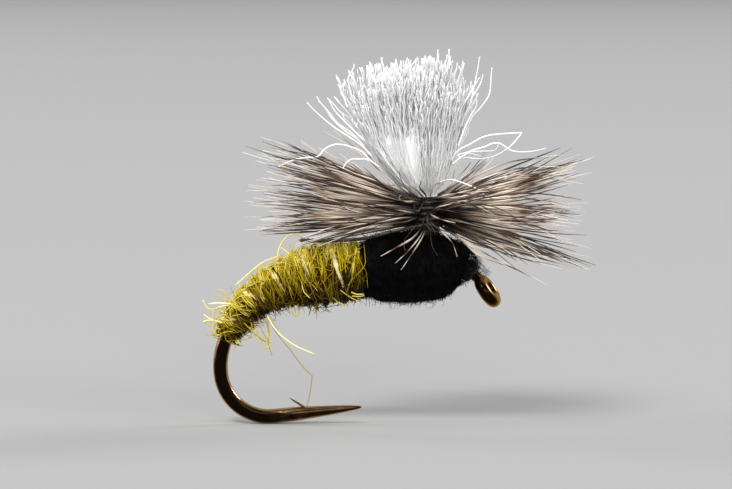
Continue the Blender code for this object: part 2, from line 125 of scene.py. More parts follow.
def sampled_line():
    """Distance, x, z and heading at close steps along the hook's centreline."""
    x = -EYE_RING_RADIUS * math.cos(math.radians(EYE_TILT))
    z = EYE_RING_RADIUS * math.sin(math.radians(EYE_TILT))
    heading = math.radians(180.0 - EYE_TILT)
    rows = [(0.0, x, z, heading)]
    for length, turn in HOOK_ARCS:
        step = length / STEPS_PER_ARC
        bend = math.radians(turn) / STEPS_PER_ARC
        for _ in range(STEPS_PER_ARC):
            x += step * math.cos(heading + bend / 2)
            z += step * math.sin(heading + bend / 2)
            heading += bend
            rows.append((rows[-1][0] + step, x, z, heading))
    return np.array(rows).T


LINE = sampled_line()


def line_at(distance):
    """(centre, outward, backward) of the hook's centreline at each distance."""
    distance = np.asarray(distance, float)
    x, z, heading = (np.interp(distance, LINE[0], row) for row in LINE[1:])
    zero = np.zeros_like(x)
    centre = np.stack([x, zero, z], -1)
    outward = np.stack([np.sin(heading), zero, -np.cos(heading)], -1)
    backward = np.stack([np.cos(heading), zero, np.sin(heading)], -1)
    return centre, outward, backward


def smooth_step(value, low, high):
    """0 below low, 1 above high, and an even curve between them."""
    share = np.clip((np.asarray(value, float) - low) / (high - low), 0.0, 1.0)
    return share * share * (3.0 - 2.0 * share)


def unit(vectors):
    """The vectors, each with length 1."""
    length = np.linalg.norm(vectors, axis=-1, keepdims=True)
    return vectors / np.maximum(length, 1e-12)


def tree_of(node):
    """A search tree of a CAD node's faces, for rays."""
    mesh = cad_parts[node].data
    points = [v.co.copy() for v in mesh.vertices]
    return BVHTree.FromPolygons(points, [tuple(p.vertices) for p in mesh.polygons])


def radius_grid(node, ends, stations, sides):
    """How far out the CAD node's skin is, at each distance along the shank and each angle round it."""
    tree = tree_of(node)
    far = 4.0 * MM
    centres, outwards, _ = line_at(np.linspace(*ends, stations))
    grid = np.zeros((stations, sides))
    for i in range(stations):
        for j in range(sides):
            angle = TAU * j / sides
            ray = outwards[i] * math.cos(angle) + SIDEWAYS * math.sin(angle)
            hit = tree.ray_cast(Vector(centres[i] + ray * far), Vector(-ray), far)
            grid[i, j] = far - hit[3] if hit[0] is not None else np.nan
    for i in range(stations):
        gap = np.isnan(grid[i])
        grid[i, gap] = np.nanmean(grid[i]) if not gap.all() else np.nan
    return ends, grid


def grid_radius(surface, distance, angle):
    """The grid's radius at any distance and angle, by straight lines between its points."""
    (low, high), grid = surface
    rows, sides = grid.shape
    i = np.clip((distance - low) / (high - low) * (rows - 1), 0, rows - 1.001)
    j = np.mod(angle / TAU, 1.0) * sides
    i0, j0 = i.astype(int), j.astype(int) % sides
    di, dj = i - i0, j - np.floor(j)
    j1 = (j0 + 1) % sides
    near = grid[i0, j0] * (1 - dj) + grid[i0, j1] * dj
    far = grid[i0 + 1, j0] * (1 - dj) + grid[i0 + 1, j1] * dj
    return near * (1 - di) + far * di


def round_shank(distance, angle, radius):
    """Points at a distance along the shank, an angle round it and a radius from it."""
    centre, outward, _ = line_at(distance)
    out = radius * np.cos(angle)
    side = radius * np.sin(angle)
    return centre + outward * out[..., None] + SIDEWAYS * side[..., None]


def resampled(points, count):
    """A Catmull-Rom spline through a few points, at even steps."""
    points = np.asarray(points, float)
    padded = np.concatenate([[2 * points[0] - points[1]], points, [2 * points[-1] - points[-2]]])
    dense = []
    for i in range(1, len(padded) - 2):
        p0, p1, p2, p3 = padded[i - 1 : i + 3]
        t = np.linspace(0.0, 1.0, SPLINE_STEPS, endpoint=False)[:, None]
        dense.append(
            0.5 * (2 * p1 + (p2 - p0) * t + (2 * p0 - 5 * p1 + 4 * p2 - p3) * t**2
                   + (3 * p1 - p0 - 3 * p2 + p3) * t**3)
        )
    dense = np.concatenate([*dense, [points[-1]]])
    run = np.concatenate([[0.0], np.cumsum(np.linalg.norm(np.diff(dense, axis=0), axis=1))])
    even = np.linspace(0.0, run[-1], count)
    return np.stack([np.interp(even, run, dense[:, k]) for k in range(3)], -1)


def add_mesh(name, points, faces, attributes, material):
    """A new smooth mesh object with named float attributes on its points."""
    mesh = bpy.data.meshes.new(name)
    mesh.from_pydata(points.tolist(), [], faces)
    for key, values in attributes.items():
        layer = mesh.attributes.new(key, "FLOAT", "POINT")
        layer.data.foreach_set("value", np.asarray(values, np.float32).ravel())
    mesh.shade_smooth()
    mesh.materials.append(material)
    obj = bpy.data.objects.new(name, mesh)
    bpy.context.scene.collection.objects.link(obj)
    return obj


def tube_faces(rings, sides, tubes=1):
    """The walls and the two end caps of tubes whose points run ring by ring."""
    ring = np.arange(sides)
    starts = np.arange(tubes)[:, None] * (rings * sides)
    low = starts[:, None] + np.arange(rings - 1)[None, :, None] * sides
    a = low + ring
    b = low + (ring + 1) % sides
    walls = np.stack([a, b, b + sides, a + sides], -1).reshape(-1, 4)
    head = starts + ring[::-1]
    tail = starts + (rings - 1) * sides + ring
    return walls.tolist() + head.tolist() + tail.tolist()


def strand_frames(paths):
    """Two sideways unit vectors along each strand, carried along it without twisting."""
    tangents = unit(np.gradient(paths, axis=1))
    first = tangents[:, 0]
    start = np.where(np.abs(first[:, 2:3]) < 0.8, [[0.0, 0.0, 1.0]], [[1.0, 0.0, 0.0]])
    normal = unit(start - first * (start * first).sum(-1, keepdims=True))
    normals = [normal]
    for i in range(1, paths.shape[1]):
        tangent = tangents[:, i]
        normal = unit(normal - tangent * (normal * tangent).sum(-1, keepdims=True))
        normals.append(normal)
    normals = np.stack(normals, 1)
    return normals, np.cross(tangents, normals)


def strands(name, paths, radii, tones, material, sides=3, flat=1.0, spin=0.0, shifts=None):
    """Thin closed tubes along paths (strands, points, 3). Flat squeezes their section and spin turns it.

    Tones and shifts give each strand its own place in the material's colours.
    """
    paths = np.asarray(paths, float)
    count, length, _ = paths.shape
    normals, binormals = strand_frames(paths)
    spin = np.broadcast_to(np.asarray(spin, float), (count,))
    angles = TAU * np.arange(sides) / sides
    cos_part = np.cos(angles)[None, None, :]
    sin_part = np.sin(angles)[None, None, :] * flat
    turn = spin[:, None, None]
    along_n = cos_part * np.cos(turn) - sin_part * np.sin(turn)
    along_b = cos_part * np.sin(turn) + sin_part * np.cos(turn)
    radii = np.broadcast_to(np.asarray(radii, float), (count, length))
    offset = normals[:, :, None] * along_n[..., None] + binormals[:, :, None] * along_b[..., None]
    points = (paths[:, :, None] + offset * radii[:, :, None, None]).reshape(-1, 3)

    def per_point(values):
        return np.broadcast_to(values, (count, length, sides))

    attributes = {
        "along": per_point(np.linspace(0.0, 1.0, length)[None, :, None]),
        "tone": per_point(np.asarray(tones, float)[:, None, None]),
        "shift": per_point(np.zeros((count, 1, 1)) if shifts is None else shifts[:, None, None]),
    }
    return add_mesh(name, points, tube_faces(length, sides, count), attributes, material)


def fine_copy(node, voxel, rounds):
    """(points, normals, faces) of a CAD node's mesh, remeshed finely in mm and smoothed."""
    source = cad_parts[node].data.copy()
    for vert in source.vertices:
        vert.co /= MM
    obj = bpy.data.objects.new("remesh", source)
    bpy.context.scene.collection.objects.link(obj)
    remesh = obj.modifiers.new("remesh", "REMESH")
    remesh.mode = "VOXEL"
    remesh.voxel_size = voxel / MM
    smooth = obj.modifiers.new("smooth", "SMOOTH")
    smooth.iterations = rounds
    smooth.factor = 0.5
    graph = bpy.context.evaluated_depsgraph_get()
    mesh = obj.evaluated_get(graph).to_mesh()
    points = np.array([v.co for v in mesh.vertices], float) * MM
    faces = [tuple(p.vertices) for p in mesh.polygons]
    normals = np.array([v.normal for v in mesh.vertices], float)
    obj.evaluated_get(graph).to_mesh_clear()
    bpy.data.objects.remove(obj, do_unlink=True)
    bpy.data.meshes.remove(source)
    return points, normals, faces


def wave_noise(points, size, seed):
    """Smooth noise of about -1 to 1: three layers of four crossed sine waves, each layer finer and weaker."""
    rng = np.random.default_rng(seed)
    total = np.zeros(len(points))
    for layer in range(3):
        for _ in range(4):
            direction = unit(rng.normal(size=3))
            phase = rng.uniform(0, TAU)
            total += np.sin(points @ direction * TAU / size * 1.7**layer + phase) / (4 * 1.6**layer)
    return total


def placed(obj, *nodes, slot):
    """Attach a finished piece to the root body and hide the CAD nodes that it stands for. Slot is not used.
    """
    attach(obj, "root")
    if nodes:
        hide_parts(*nodes)
    return obj


# ---------------------------------------------------------------- materials


class Shader:
    """A Principled material and short ways to wire nodes into it."""

    def __init__(self, name, **plain):
        self.material = bpy.data.materials.new(name)
        self.material.use_nodes = True
        self.tree = self.material.node_tree
        self.bsdf = self.tree.nodes["Principled BSDF"]
        for key, value in plain.items():
            self.bsdf.inputs[key.replace("_", " ")].default_value = value

    def feed(self, socket, value):
        """Link another node's output to a socket, or set the socket's own value."""
        if isinstance(value, bpy.types.NodeSocket):
            self.tree.links.new(value, socket)
        else:
            socket.default_value = value

    def node(self, kind, settings=None, **inputs):
        """A new node with its settings, and its inputs given by name."""
        made = self.tree.nodes.new(kind)
        for key, value in (settings or {}).items():
            setattr(made, key, value)
        for key, value in inputs.items():
            self.feed(made.inputs[key.replace("_", " ")], value)
        return made

    def attribute(self, name):
        """A number that the mesh carries on its points."""
        return self.node("ShaderNodeAttribute", {"attribute_name": name}).outputs["Fac"]

    def noise(self, size, detail=3.0):
        """Noise whose patches have about the given size, in the object's own space."""
        place = self.node("ShaderNodeTexCoord").outputs["Object"]
        made = self.node(
            "ShaderNodeTexNoise", Vector=place, Scale=1.0 / size, Detail=detail, Roughness=0.55
        )
        return made.outputs["Fac"]

    def maths(self, operation, first, second, clamp=False):
        """One sum of two numbers or outputs."""
        made = self.node("ShaderNodeMath", {"operation": operation, "use_clamp": clamp})
        for socket, value in zip(made.inputs, (first, second)):
            self.feed(socket, value)
        return made.outputs[0]

    def ramp(self, value, *stops):
        """A colour read from (position, colour) stops."""
        made = self.node("ShaderNodeValToRGB", Fac=value)
        elements = made.color_ramp.elements
        while len(elements) < len(stops):
            elements.new(0.5)
        for element, (position, colour) in zip(elements, stops):
            element.position = position
            element.color = (*colour, 1.0)
        return made.outputs["Color"]

    def mix(self, share, first, second, blend="MIX"):
        """Two colours mixed by share, through the colour sockets of a Mix node."""
        made = self.node("ShaderNodeMix", {"data_type": "RGBA", "blend_type": blend})
        for index, value in ((0, share), (6, first), (7, second)):
            self.feed(made.inputs[index], value)
        return made.outputs[2]

    def finished(self, colour, gloss, relief):
        """The material. Gloss is (noise size, low and high roughness) and relief (noise, strength, depth)."""
        size, low, high = gloss
        height, strength, depth = relief
        rough = self.node("ShaderNodeMapRange", Value=self.noise(size), To_Min=low, To_Max=high)
        bump = self.node("ShaderNodeBump", Height=height, Strength=strength, Distance=depth)
        self.feed(self.bsdf.inputs["Base Color"], colour)
        self.feed(self.bsdf.inputs["Roughness"], rough.outputs[0])
        self.feed(self.bsdf.inputs["Normal"], bump.outputs["Normal"])
        return self.material


def bronze_material():
    """Bronzed wire: nearly black on its sides, with painted highlight in tan along its outer and inner edges.
    """
    shader = Shader("bronzed_wire", Metallic=1.0)
    shader.bsdf.inputs["Specular Tint"].default_value = (1.0, 0.70, 0.40, 1.0)
    # Painted highlight from the points' edge attribute, with random patches, read through a ramp from near
    # black to tan.
    patchy = shader.maths("SUBTRACT", shader.noise(0.35 * MM, 4.0), 0.5)
    highlight_and_patches = shader.maths("ADD", shader.attribute("edge"), shader.maths("MULTIPLY", patchy, 0.7), clamp=True)
    colour = shader.ramp(
        highlight_and_patches,
        (0.08, (0.010, 0.006, 0.003)),
        (0.32, (0.030, 0.017, 0.008)),
        (0.55, (0.180, 0.100, 0.042)),
        (0.85, (0.480, 0.330, 0.190)),
    )
    return shader.finished(colour, (0.12 * MM, 0.12, 0.26), (shader.noise(0.05 * MM, 4.0), 0.20, 0.004 * MM))


def thread_material():
    """Waxed black thread, slightly glossy."""
    shader = Shader("waxed_black_thread", Specular_IOR_Level=0.3)
    colour = shader.ramp(
        shader.noise(0.05 * MM), (0.25, (0.003, 0.003, 0.004)), (0.80, (0.018, 0.017, 0.018))
    )
    return shader.finished(colour, (0.08 * MM, 0.32, 0.60), (shader.noise(0.02 * MM), 0.4, 0.004 * MM))


def black_fur_material():
    """Dull black fur. A few fibres are grey, as painted sheen."""
    shader = Shader("black_fur", Specular_IOR_Level=0.05)
    colour = shader.ramp(
        shader.attribute("tone"),
        (0.00, (0.0008, 0.0008, 0.0009)),
        (0.80, (0.0030, 0.0029, 0.0031)),
        (1.00, (0.0400, 0.0390, 0.0400)),
    )
    return shader.finished(colour, (0.1 * MM, 0.55, 0.85), (shader.noise(0.02 * MM), 0.3, 0.003 * MM))


def olive_fur_material():
    """Fur fibres: tone runs from the dark brown of underfur to the palest straw and carries painted light and
    shade round the body; the tips are paler.
    """
    shader = Shader("olive_fur", Specular_IOR_Level=0.08)
    body = shader.ramp(
        shader.attribute("tone"),
        (0.00, (0.014, 0.006, 0.003)),
        (0.18, (0.048, 0.021, 0.006)),
        (0.34, (0.105, 0.055, 0.004)),
        (0.50, (0.195, 0.122, 0.002)),
        (0.72, (0.395, 0.278, 0.002)),
        (0.88, (0.560, 0.425, 0.003)),
        (0.96, (0.770, 0.660, 0.160)),
        (1.00, (0.880, 0.810, 0.430)),
    )
    tip = shader.ramp(shader.attribute("along"), (0.65, BLACK), (1.0, WHITE))
    colour = shader.mix(shader.maths("MULTIPLY", tip, 0.10), body, (0.88, 0.78, 0.15, 1.0))
    return shader.finished(colour, (0.2 * MM, 0.38, 0.66), (shader.noise(0.03 * MM), 0.3, 0.004 * MM))


def underfur_material():
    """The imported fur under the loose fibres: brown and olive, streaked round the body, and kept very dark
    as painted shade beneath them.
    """
    shader = Shader("underfur_in_painted_shade", Specular_IOR_Level=0.05)
    colour = shader.ramp(
        shader.noise(0.10 * MM, 5.0),
        (0.25, (0.010, 0.004, 0.001)),
        (0.50, (0.036, 0.018, 0.003)),
        (0.78, (0.110, 0.070, 0.003)),
    )
    return shader.finished(colour, (0.1 * MM, 0.7, 0.95), (shader.noise(0.04 * MM, 5.0), 0.8, 0.03 * MM))


def rib_material():
    """A straw-coloured strand, darker in random stretches along it."""
    shader = Shader("straw_rib")
    straw_tone = shader.ramp(
        shader.noise(0.22 * MM), (0.30, (0.36, 0.25, 0.04)), (0.62, (0.72, 0.60, 0.22))
    )
    paler = shader.maths("MULTIPLY", shader.attribute("tone"), 0.5)
    colour = shader.mix(paler, straw_tone, (0.86, 0.79, 0.44, 1.0))
    return shader.finished(colour, (0.1 * MM, 0.3, 0.55), (shader.noise(0.03 * MM), 0.3, 0.004 * MM))


def yarn_material():
    """Bright white filaments, a little cooler where the tone is low, and darker towards the tips as painted
    shade.
    """
    shader = Shader("white_yarn", Sheen_Weight=0.6, Sheen_Roughness=0.45)
    body = shader.ramp(
        shader.attribute("tone"),
        (0.0, (0.90, 0.90, 0.92)),
        (0.4, (0.95, 0.95, 0.955)),
        (1.0, (0.98, 0.98, 0.975)),
    )
    # Painted shade: the filaments darken towards their tips.
    painted_tip_shade = shader.ramp(shader.attribute("along"), (0.45, WHITE), (0.90, (0.74, 0.735, 0.74)))
    colour = shader.mix(1.0, body, painted_tip_shade, "MULTIPLY")
    return shader.finished(colour, (0.3 * MM, 0.3, 0.55), (shader.noise(0.04 * MM), 0.25, 0.004 * MM))


def barb_material():
    """Barred feather barbs: dark at the quill, a pale middle, a brown bar, then pale tips; a low tone is
    painted shade.
    """
    shader = Shader("barred_barbs")
    along = shader.maths("ADD", shader.attribute("along"), shader.attribute("shift"), clamp=True)
    bars = shader.ramp(
        along,
        (0.00, (0.008, 0.006, 0.005)),
        (0.15, (0.022, 0.013, 0.009)),
        (0.27, (0.400, 0.305, 0.225)),
        (0.42, (0.880, 0.780, 0.660)),
        (0.56, (0.580, 0.450, 0.340)),
        (0.67, (0.070, 0.036, 0.022)),
        (0.77, (0.160, 0.092, 0.060)),
        (0.86, (0.740, 0.640, 0.540)),
        (1.00, (0.890, 0.830, 0.770)),
    )
    # Tone scales each barb: low tones are painted shade for barbs in shadow, and higher tones vary at random.
    barb_tone_and_shade = shader.ramp(
        shader.attribute("tone"),
        (0.00, (0.04, 0.028, 0.022)),
        (0.30, (0.16, 0.11, 0.085)),
        (0.45, (0.84, 0.80, 0.77)),
        (1.00, WHITE),
    )
    colour = shader.mix(1.0, bars, barb_tone_and_shade, "MULTIPLY")
    return shader.finished(colour, (0.15 * MM, 0.3, 0.6), (shader.noise(0.03 * MM), 0.3, 0.004 * MM))


def quill_material():
    """Dark horn-like feather stem."""
    shader = Shader("dark_quill")
    colour = shader.ramp(
        shader.noise(0.25 * MM), (0.30, (0.010, 0.006, 0.005)), (0.75, (0.075, 0.048, 0.032))
    )
    return shader.finished(colour, (0.1 * MM, 0.28, 0.5), (shader.noise(0.03 * MM), 0.4, 0.006 * MM))


def fluff_material():
    """Fine grey curls."""
    shader = Shader("grey_fluff")
    colour = shader.ramp(shader.attribute("tone"), (0.0, (0.20, 0.20, 0.22)), (1.0, (0.66, 0.67, 0.71)))
    return shader.finished(colour, (0.1 * MM, 0.5, 0.7), (shader.noise(0.02 * MM), 0.3, 0.002 * MM))


# ---------------------------------------------------------------- hook


def forging(distance):
    """1 along the flattened bend, 0 on the round wire."""
    start = smooth_step(distance, FORGED_START - FORGED_BLEND, FORGED_START)
    return start * (1.0 - smooth_step(distance, FORGED_END, FORGED_END + FORGED_BLEND))


def swept_wire(material):
    """The wire from the eye to the point: round, forged flat in the bend, and tapered in the spear."""
    distance = np.concatenate([
        np.linspace(0.0, FINE_RANGE[0], 90, endpoint=False),
        np.linspace(*FINE_RANGE, 110, endpoint=False),
        np.linspace(FINE_RANGE[1], HOOK_LENGTH, 60),
    ])
    radius = NECK_RADIUS + (WIRE_RADIUS - NECK_RADIUS) * smooth_step(distance, 0.0, NECK_TAPER)
    share = np.clip((distance - POINT_TAPER_START) / (HOOK_LENGTH - POINT_TAPER_START), 0.0, 1.0)
    radius = POINT_RADIUS + (radius - POINT_RADIUS) * (1.0 - share) ** POINT_TAPER_POWER
    forged = forging(distance)
    half_out = radius + (FORGED_HALF_HEIGHT - WIRE_RADIUS) * forged
    flat = radius - (WIRE_RADIUS - FORGED_HALF_WIDTH) * forged
    centre, outward, _ = line_at(distance)
    angle = TAU * (np.arange(WIRE_SIDES) + 0.5) / WIRE_SIDES
    out = half_out[:, None] * np.cos(angle)
    side = np.clip(radius[:, None] * np.sin(angle), -flat[:, None], flat[:, None])
    points = centre[:, None] + outward[:, None] * out[..., None] + SIDEWAYS * side[..., None]
    faces = tube_faces(len(distance), WIRE_SIDES)
    wire = add_mesh("hook_wire", points.reshape(-1, 3), faces, {}, material)
    outward_faces(wire)
    return wire


def painted_edge_highlights(hook):
    """Painted highlight on the bronze at each point: along the hook's edges as seen across Y and on top, less
    in the eye, more on the spear.
    """
    count = len(hook.data.vertices)
    normals, places = np.empty(count * 3), np.empty(count * 3)
    hook.data.vertices.foreach_get("normal", normals)
    hook.data.vertices.foreach_get("co", places)
    _, sideways, upward = normals.reshape(-1, 3).T
    x, y, z = places.reshape(-1, 3).T
    edge = smooth_step(1.0 - np.abs(sideways) + 0.20 * np.clip(upward, 0, 1), 0.12, 0.66)
    in_eye = np.sqrt(x**2 + y**2 + z**2) < EYE_RING_RADIUS + EYE_WIRE_RADIUS + 0.05 * MM
    on_spear = smooth_step(x, *SPEAR_HIGHLIGHT_RANGE) * (z < SPEAR_TOP)
    return edge * np.where(in_eye, EYE_HIGHLIGHT_SHARE, 1.0) + SPEAR_HIGHLIGHT * on_spear


def make_hook(material):
    """The wire, finer than in CAD, with its ring eye and its barb joined to it."""
    hook = swept_wire(material)
    bpy.ops.mesh.primitive_torus_add(
        major_segments=72,
        minor_segments=28,
        major_radius=EYE_RING_RADIUS,
        minor_radius=EYE_WIRE_RADIUS,
        rotation=(math.radians(EYE_TWIST), math.radians(EYE_TILT), 0.0),
    )
    join_to(hook, bpy.context.object)
    join_to(hook, barb_blade(material))
    hook.data.shade_smooth()
    # The painted highlight, kept on the wire's points for its material.
    layer = hook.data.attributes.new("edge", "FLOAT", "POINT")
    layer.data.foreach_set("value", painted_edge_highlights(hook).astype(np.float32))
    hook.data.set_sharp_from_angle(angle=math.radians(35.0))
    return placed(hook, "hook", slot="hook_wire")


def outward_faces(obj):
    """Turn a closed mesh's faces outward."""
    bm = bmesh.new()
    bm.from_mesh(obj.data)
    bmesh.ops.recalc_face_normals(bm, faces=bm.faces)
    bm.to_mesh(obj.data)
    bm.free()


def join_to(obj, other):
    """Union of other into obj, with other removed."""
    modifier = obj.modifiers.new("join", "BOOLEAN")
    modifier.object = other
    modifier.operation = "UNION"
    graph = bpy.context.evaluated_depsgraph_get()
    mesh = bpy.data.meshes.new_from_object(obj.evaluated_get(graph))
    obj.modifiers.clear()
    obj.data = mesh
    bpy.data.objects.remove(other, do_unlink=True)


def barb_blade(material):
    """The barb: a flat blade that leaves the spear towards the bend and tapers to a point."""
    centre, outward, backward = line_at(np.array([BARB_ROOT]))
    lift = math.radians(BARB_LIFT)
    direction = -backward[0] * math.cos(lift) - outward[0] * math.sin(lift)
    shares = np.array([0.0, 0.3, 0.55, 0.75, 0.9, 1.0])
    sizes = np.array([1.0, 0.95, 0.85, 0.65, 0.4, 0.06])
    path = centre[0] + direction * (BARB_LENGTH * shares)[:, None]
    radii = BARB_RADIUS * sizes[None]
    blade = strands("barb_blade", path[None], radii, [0.5], material, 16, flat=0.42, spin=math.pi / 2)
    outward_faces(blade)
    return blade


# ---------------------------------------------------------------- body


def rope_turn(distance):
    """The angle round the shank of the rope's crest at each distance."""
    return TAU * (distance - ROPE_PHASE) / ROPE_PITCH


def rib_gap(distance, angle):
    """How far round the shank, in radians, each point is from the rib."""
    from_rib = angle - rope_turn(distance) - math.pi / ROPE_STARTS
    return np.abs(np.mod(from_rib + math.pi, TAU) - math.pi)


# The layers of fibres, from the skin outwards, with lengths in mm: (name, groups, fibres in a group,
# length, slope along the shank, how far the ends stand out, height over the skin, tone, radius, bend).
# The inner layer's lower tone is partly a brown underlayer and partly painted shade under the outer fibres.
ABDOMEN_LAYERS = (
    ("abdomen_inner_fibres", 330, 5, (0.5, 1.3), 0.12, (0.0, 0.05), (-0.02, 0.03), 0.34, (0.016, 0.028), 0.0),
    ("abdomen_fibres", 250, 6, (0.45, 1.1), 0.14, (0.03, 0.26), (0.0, 0.08), 0.60, (0.018, 0.030), 0.05),
    ("abdomen_spikes", 260, 1, (0.5, 1.0), 0.45, (0.15, 0.55), (0.01, 0.06), 0.62, (0.015, 0.024), 0.15),
    ("abdomen_curls", 150, 1, (0.6, 1.3), 0.9, (0.05, 0.40), (0.03, 0.14), 0.66, (0.016, 0.023), 0.45),
)
FIBRE_STEPS = 10
GROUP_WIDTH = 0.055 * MM
GROUP_ANGLE = 0.09
ONE_WAY_SHARE = 0.62
FRONT_OVERRUN = 0.10 * MM
REAR_OVERRUN = 0.12 * MM
# Painted light and shade on the tone: more on top of the body, less underneath, and less again for the dark
# underfur fibres.
PAINTED_TOP_LIGHT = 0.90
UNDERFUR_AND_SHADE_TONE = 0.34
TOP_TONE = 0.93


def lumpy_copy(node, voxel, rounds, lump_size, seed, lump, swell):
    """(points, faces) of a CAD node's skin, swollen by swell and made lumpy."""
    points, normals, faces = fine_copy(node, voxel, rounds)
    lumps = wave_noise(points, lump_size, seed)
    return points + normals * (lumps * lump + swell)[:, None], faces


def make_abdomen(fur, underfur):
    """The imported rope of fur, and over it the fibres wound round the shank with their ends standing out."""
    points, faces = lumpy_copy("abdomen_dubbing", 0.05 * MM, 2, 0.22 * MM, 5, 0.02 * MM, -0.01 * MM)
    # The core is the underfur, very dark as painted shade under the loose fibres.
    core = add_mesh("abdomen_core", points, faces, {}, underfur)
    placed(core, "abdomen_dubbing", slot="olive_dubbing")
    surface = radius_grid("abdomen_dubbing", ABDOMEN_RANGE, 150, 48)
    rng = np.random.default_rng(11)
    for layer in ABDOMEN_LAYERS:
        wound_fibres(rng, surface, fur, *layer)


def wound_fibres(rng, surface, fur, name, groups, per, length, slope, stand, lift, tone, radius, bend):
    """Fibres laid round the abdomen in small groups that share their place and direction."""
    low, high = ABDOMEN_RANGE
    t = np.linspace(0.0, 1.0, FIBRE_STEPS)
    start = rng.uniform(low, high, groups * 2)
    likely = 0.55 + 0.45 * (high - start) / (high - low)
    start = start[rng.uniform(0, 1, len(start)) < likely][:groups]
    groups = len(start)
    group = np.repeat(np.arange(groups), per)
    count = len(group)

    def shared(values, spread):
        return values[group] + rng.normal(0.0, spread, count) * (per > 1)

    start = np.clip(shared(start, GROUP_WIDTH), low, high)
    angle = shared(rng.uniform(0, TAU, groups), GROUP_ANGLE)
    sense = np.where(rng.uniform(0, 1, groups) < ONE_WAY_SHARE, 1.0, -1.0)[group]
    run = rng.uniform(*length, groups)[group] * MM * rng.uniform(0.8, 1.2, count)
    sweep = sense * run / np.maximum(grid_radius(surface, start, angle), 0.3 * MM)
    drift = shared(rng.normal(0.0, slope, groups), 0.06) * run
    curl = rng.normal(0.0, bend, groups)[group] * run
    theta = angle[:, None] + sweep[:, None] * t
    distance = start[:, None] + drift[:, None] * t + curl[:, None] * np.sin(math.pi * t)
    distance = np.clip(distance, low - FRONT_OVERRUN, high + REAR_OVERRUN)

    middle = angle + 0.5 * sweep
    up = 0.5 + 0.5 * np.cos(middle)
    # Dark underfur fibres, lying flatter, made more common underneath the body as painted shade.
    underfur_and_shade = (rng.uniform(0, 1, groups) < 0.86 - 0.70 * up[::per])[group] & (per > 1)
    over = rng.uniform(*lift, count)[:, None] * MM
    out = (rng.uniform(*stand, count) * np.where(underfur_and_shade, 0.3, 1.0))[:, None] * MM
    tail_end = out * np.clip((t - 0.45) / 0.55, 0, 1) ** 1.6
    root_end = 0.4 * out * np.clip((0.2 - t) / 0.2, 0, 1) ** 1.4
    near_rib = np.clip(1.0 - rib_gap(start, middle) / 0.8, 0, 1) * smooth_step(np.cos(middle), 0.0, 0.7)
    keep = rng.uniform(0, 1, count) > 0.8 * near_rib
    skin = grid_radius(surface, np.clip(distance, low, high), theta)
    paths = round_shank(distance, theta, skin + over + tail_end + root_end)

    # Tone: the layer's own, plus painted top light and painted shade underneath, less for the dark fibres,
    # and random spread.
    tones = tone + PAINTED_TOP_LIGHT * (up - 0.5) - np.where(underfur_and_shade, UNDERFUR_AND_SHADE_TONE, 0.0)
    tones = tones + rng.normal(0, 0.10, groups)[group] + rng.normal(0, 0.07, count)
    tones = np.clip(tones, 0.0, TOP_TONE)
    swell = 0.55 + 0.45 * np.sin(math.pi * np.clip(t * 0.9 + 0.1, 0, 1))
    radii = rng.uniform(*radius, count)[:, None] * MM * swell * (1 - 0.55 * t**3)
    spin = rng.uniform(0, TAU, count)
    layer = strands(name, paths[keep], radii[keep], tones[keep], fur, spin=spin[keep])
    placed(layer, slot="olive_dubbing")


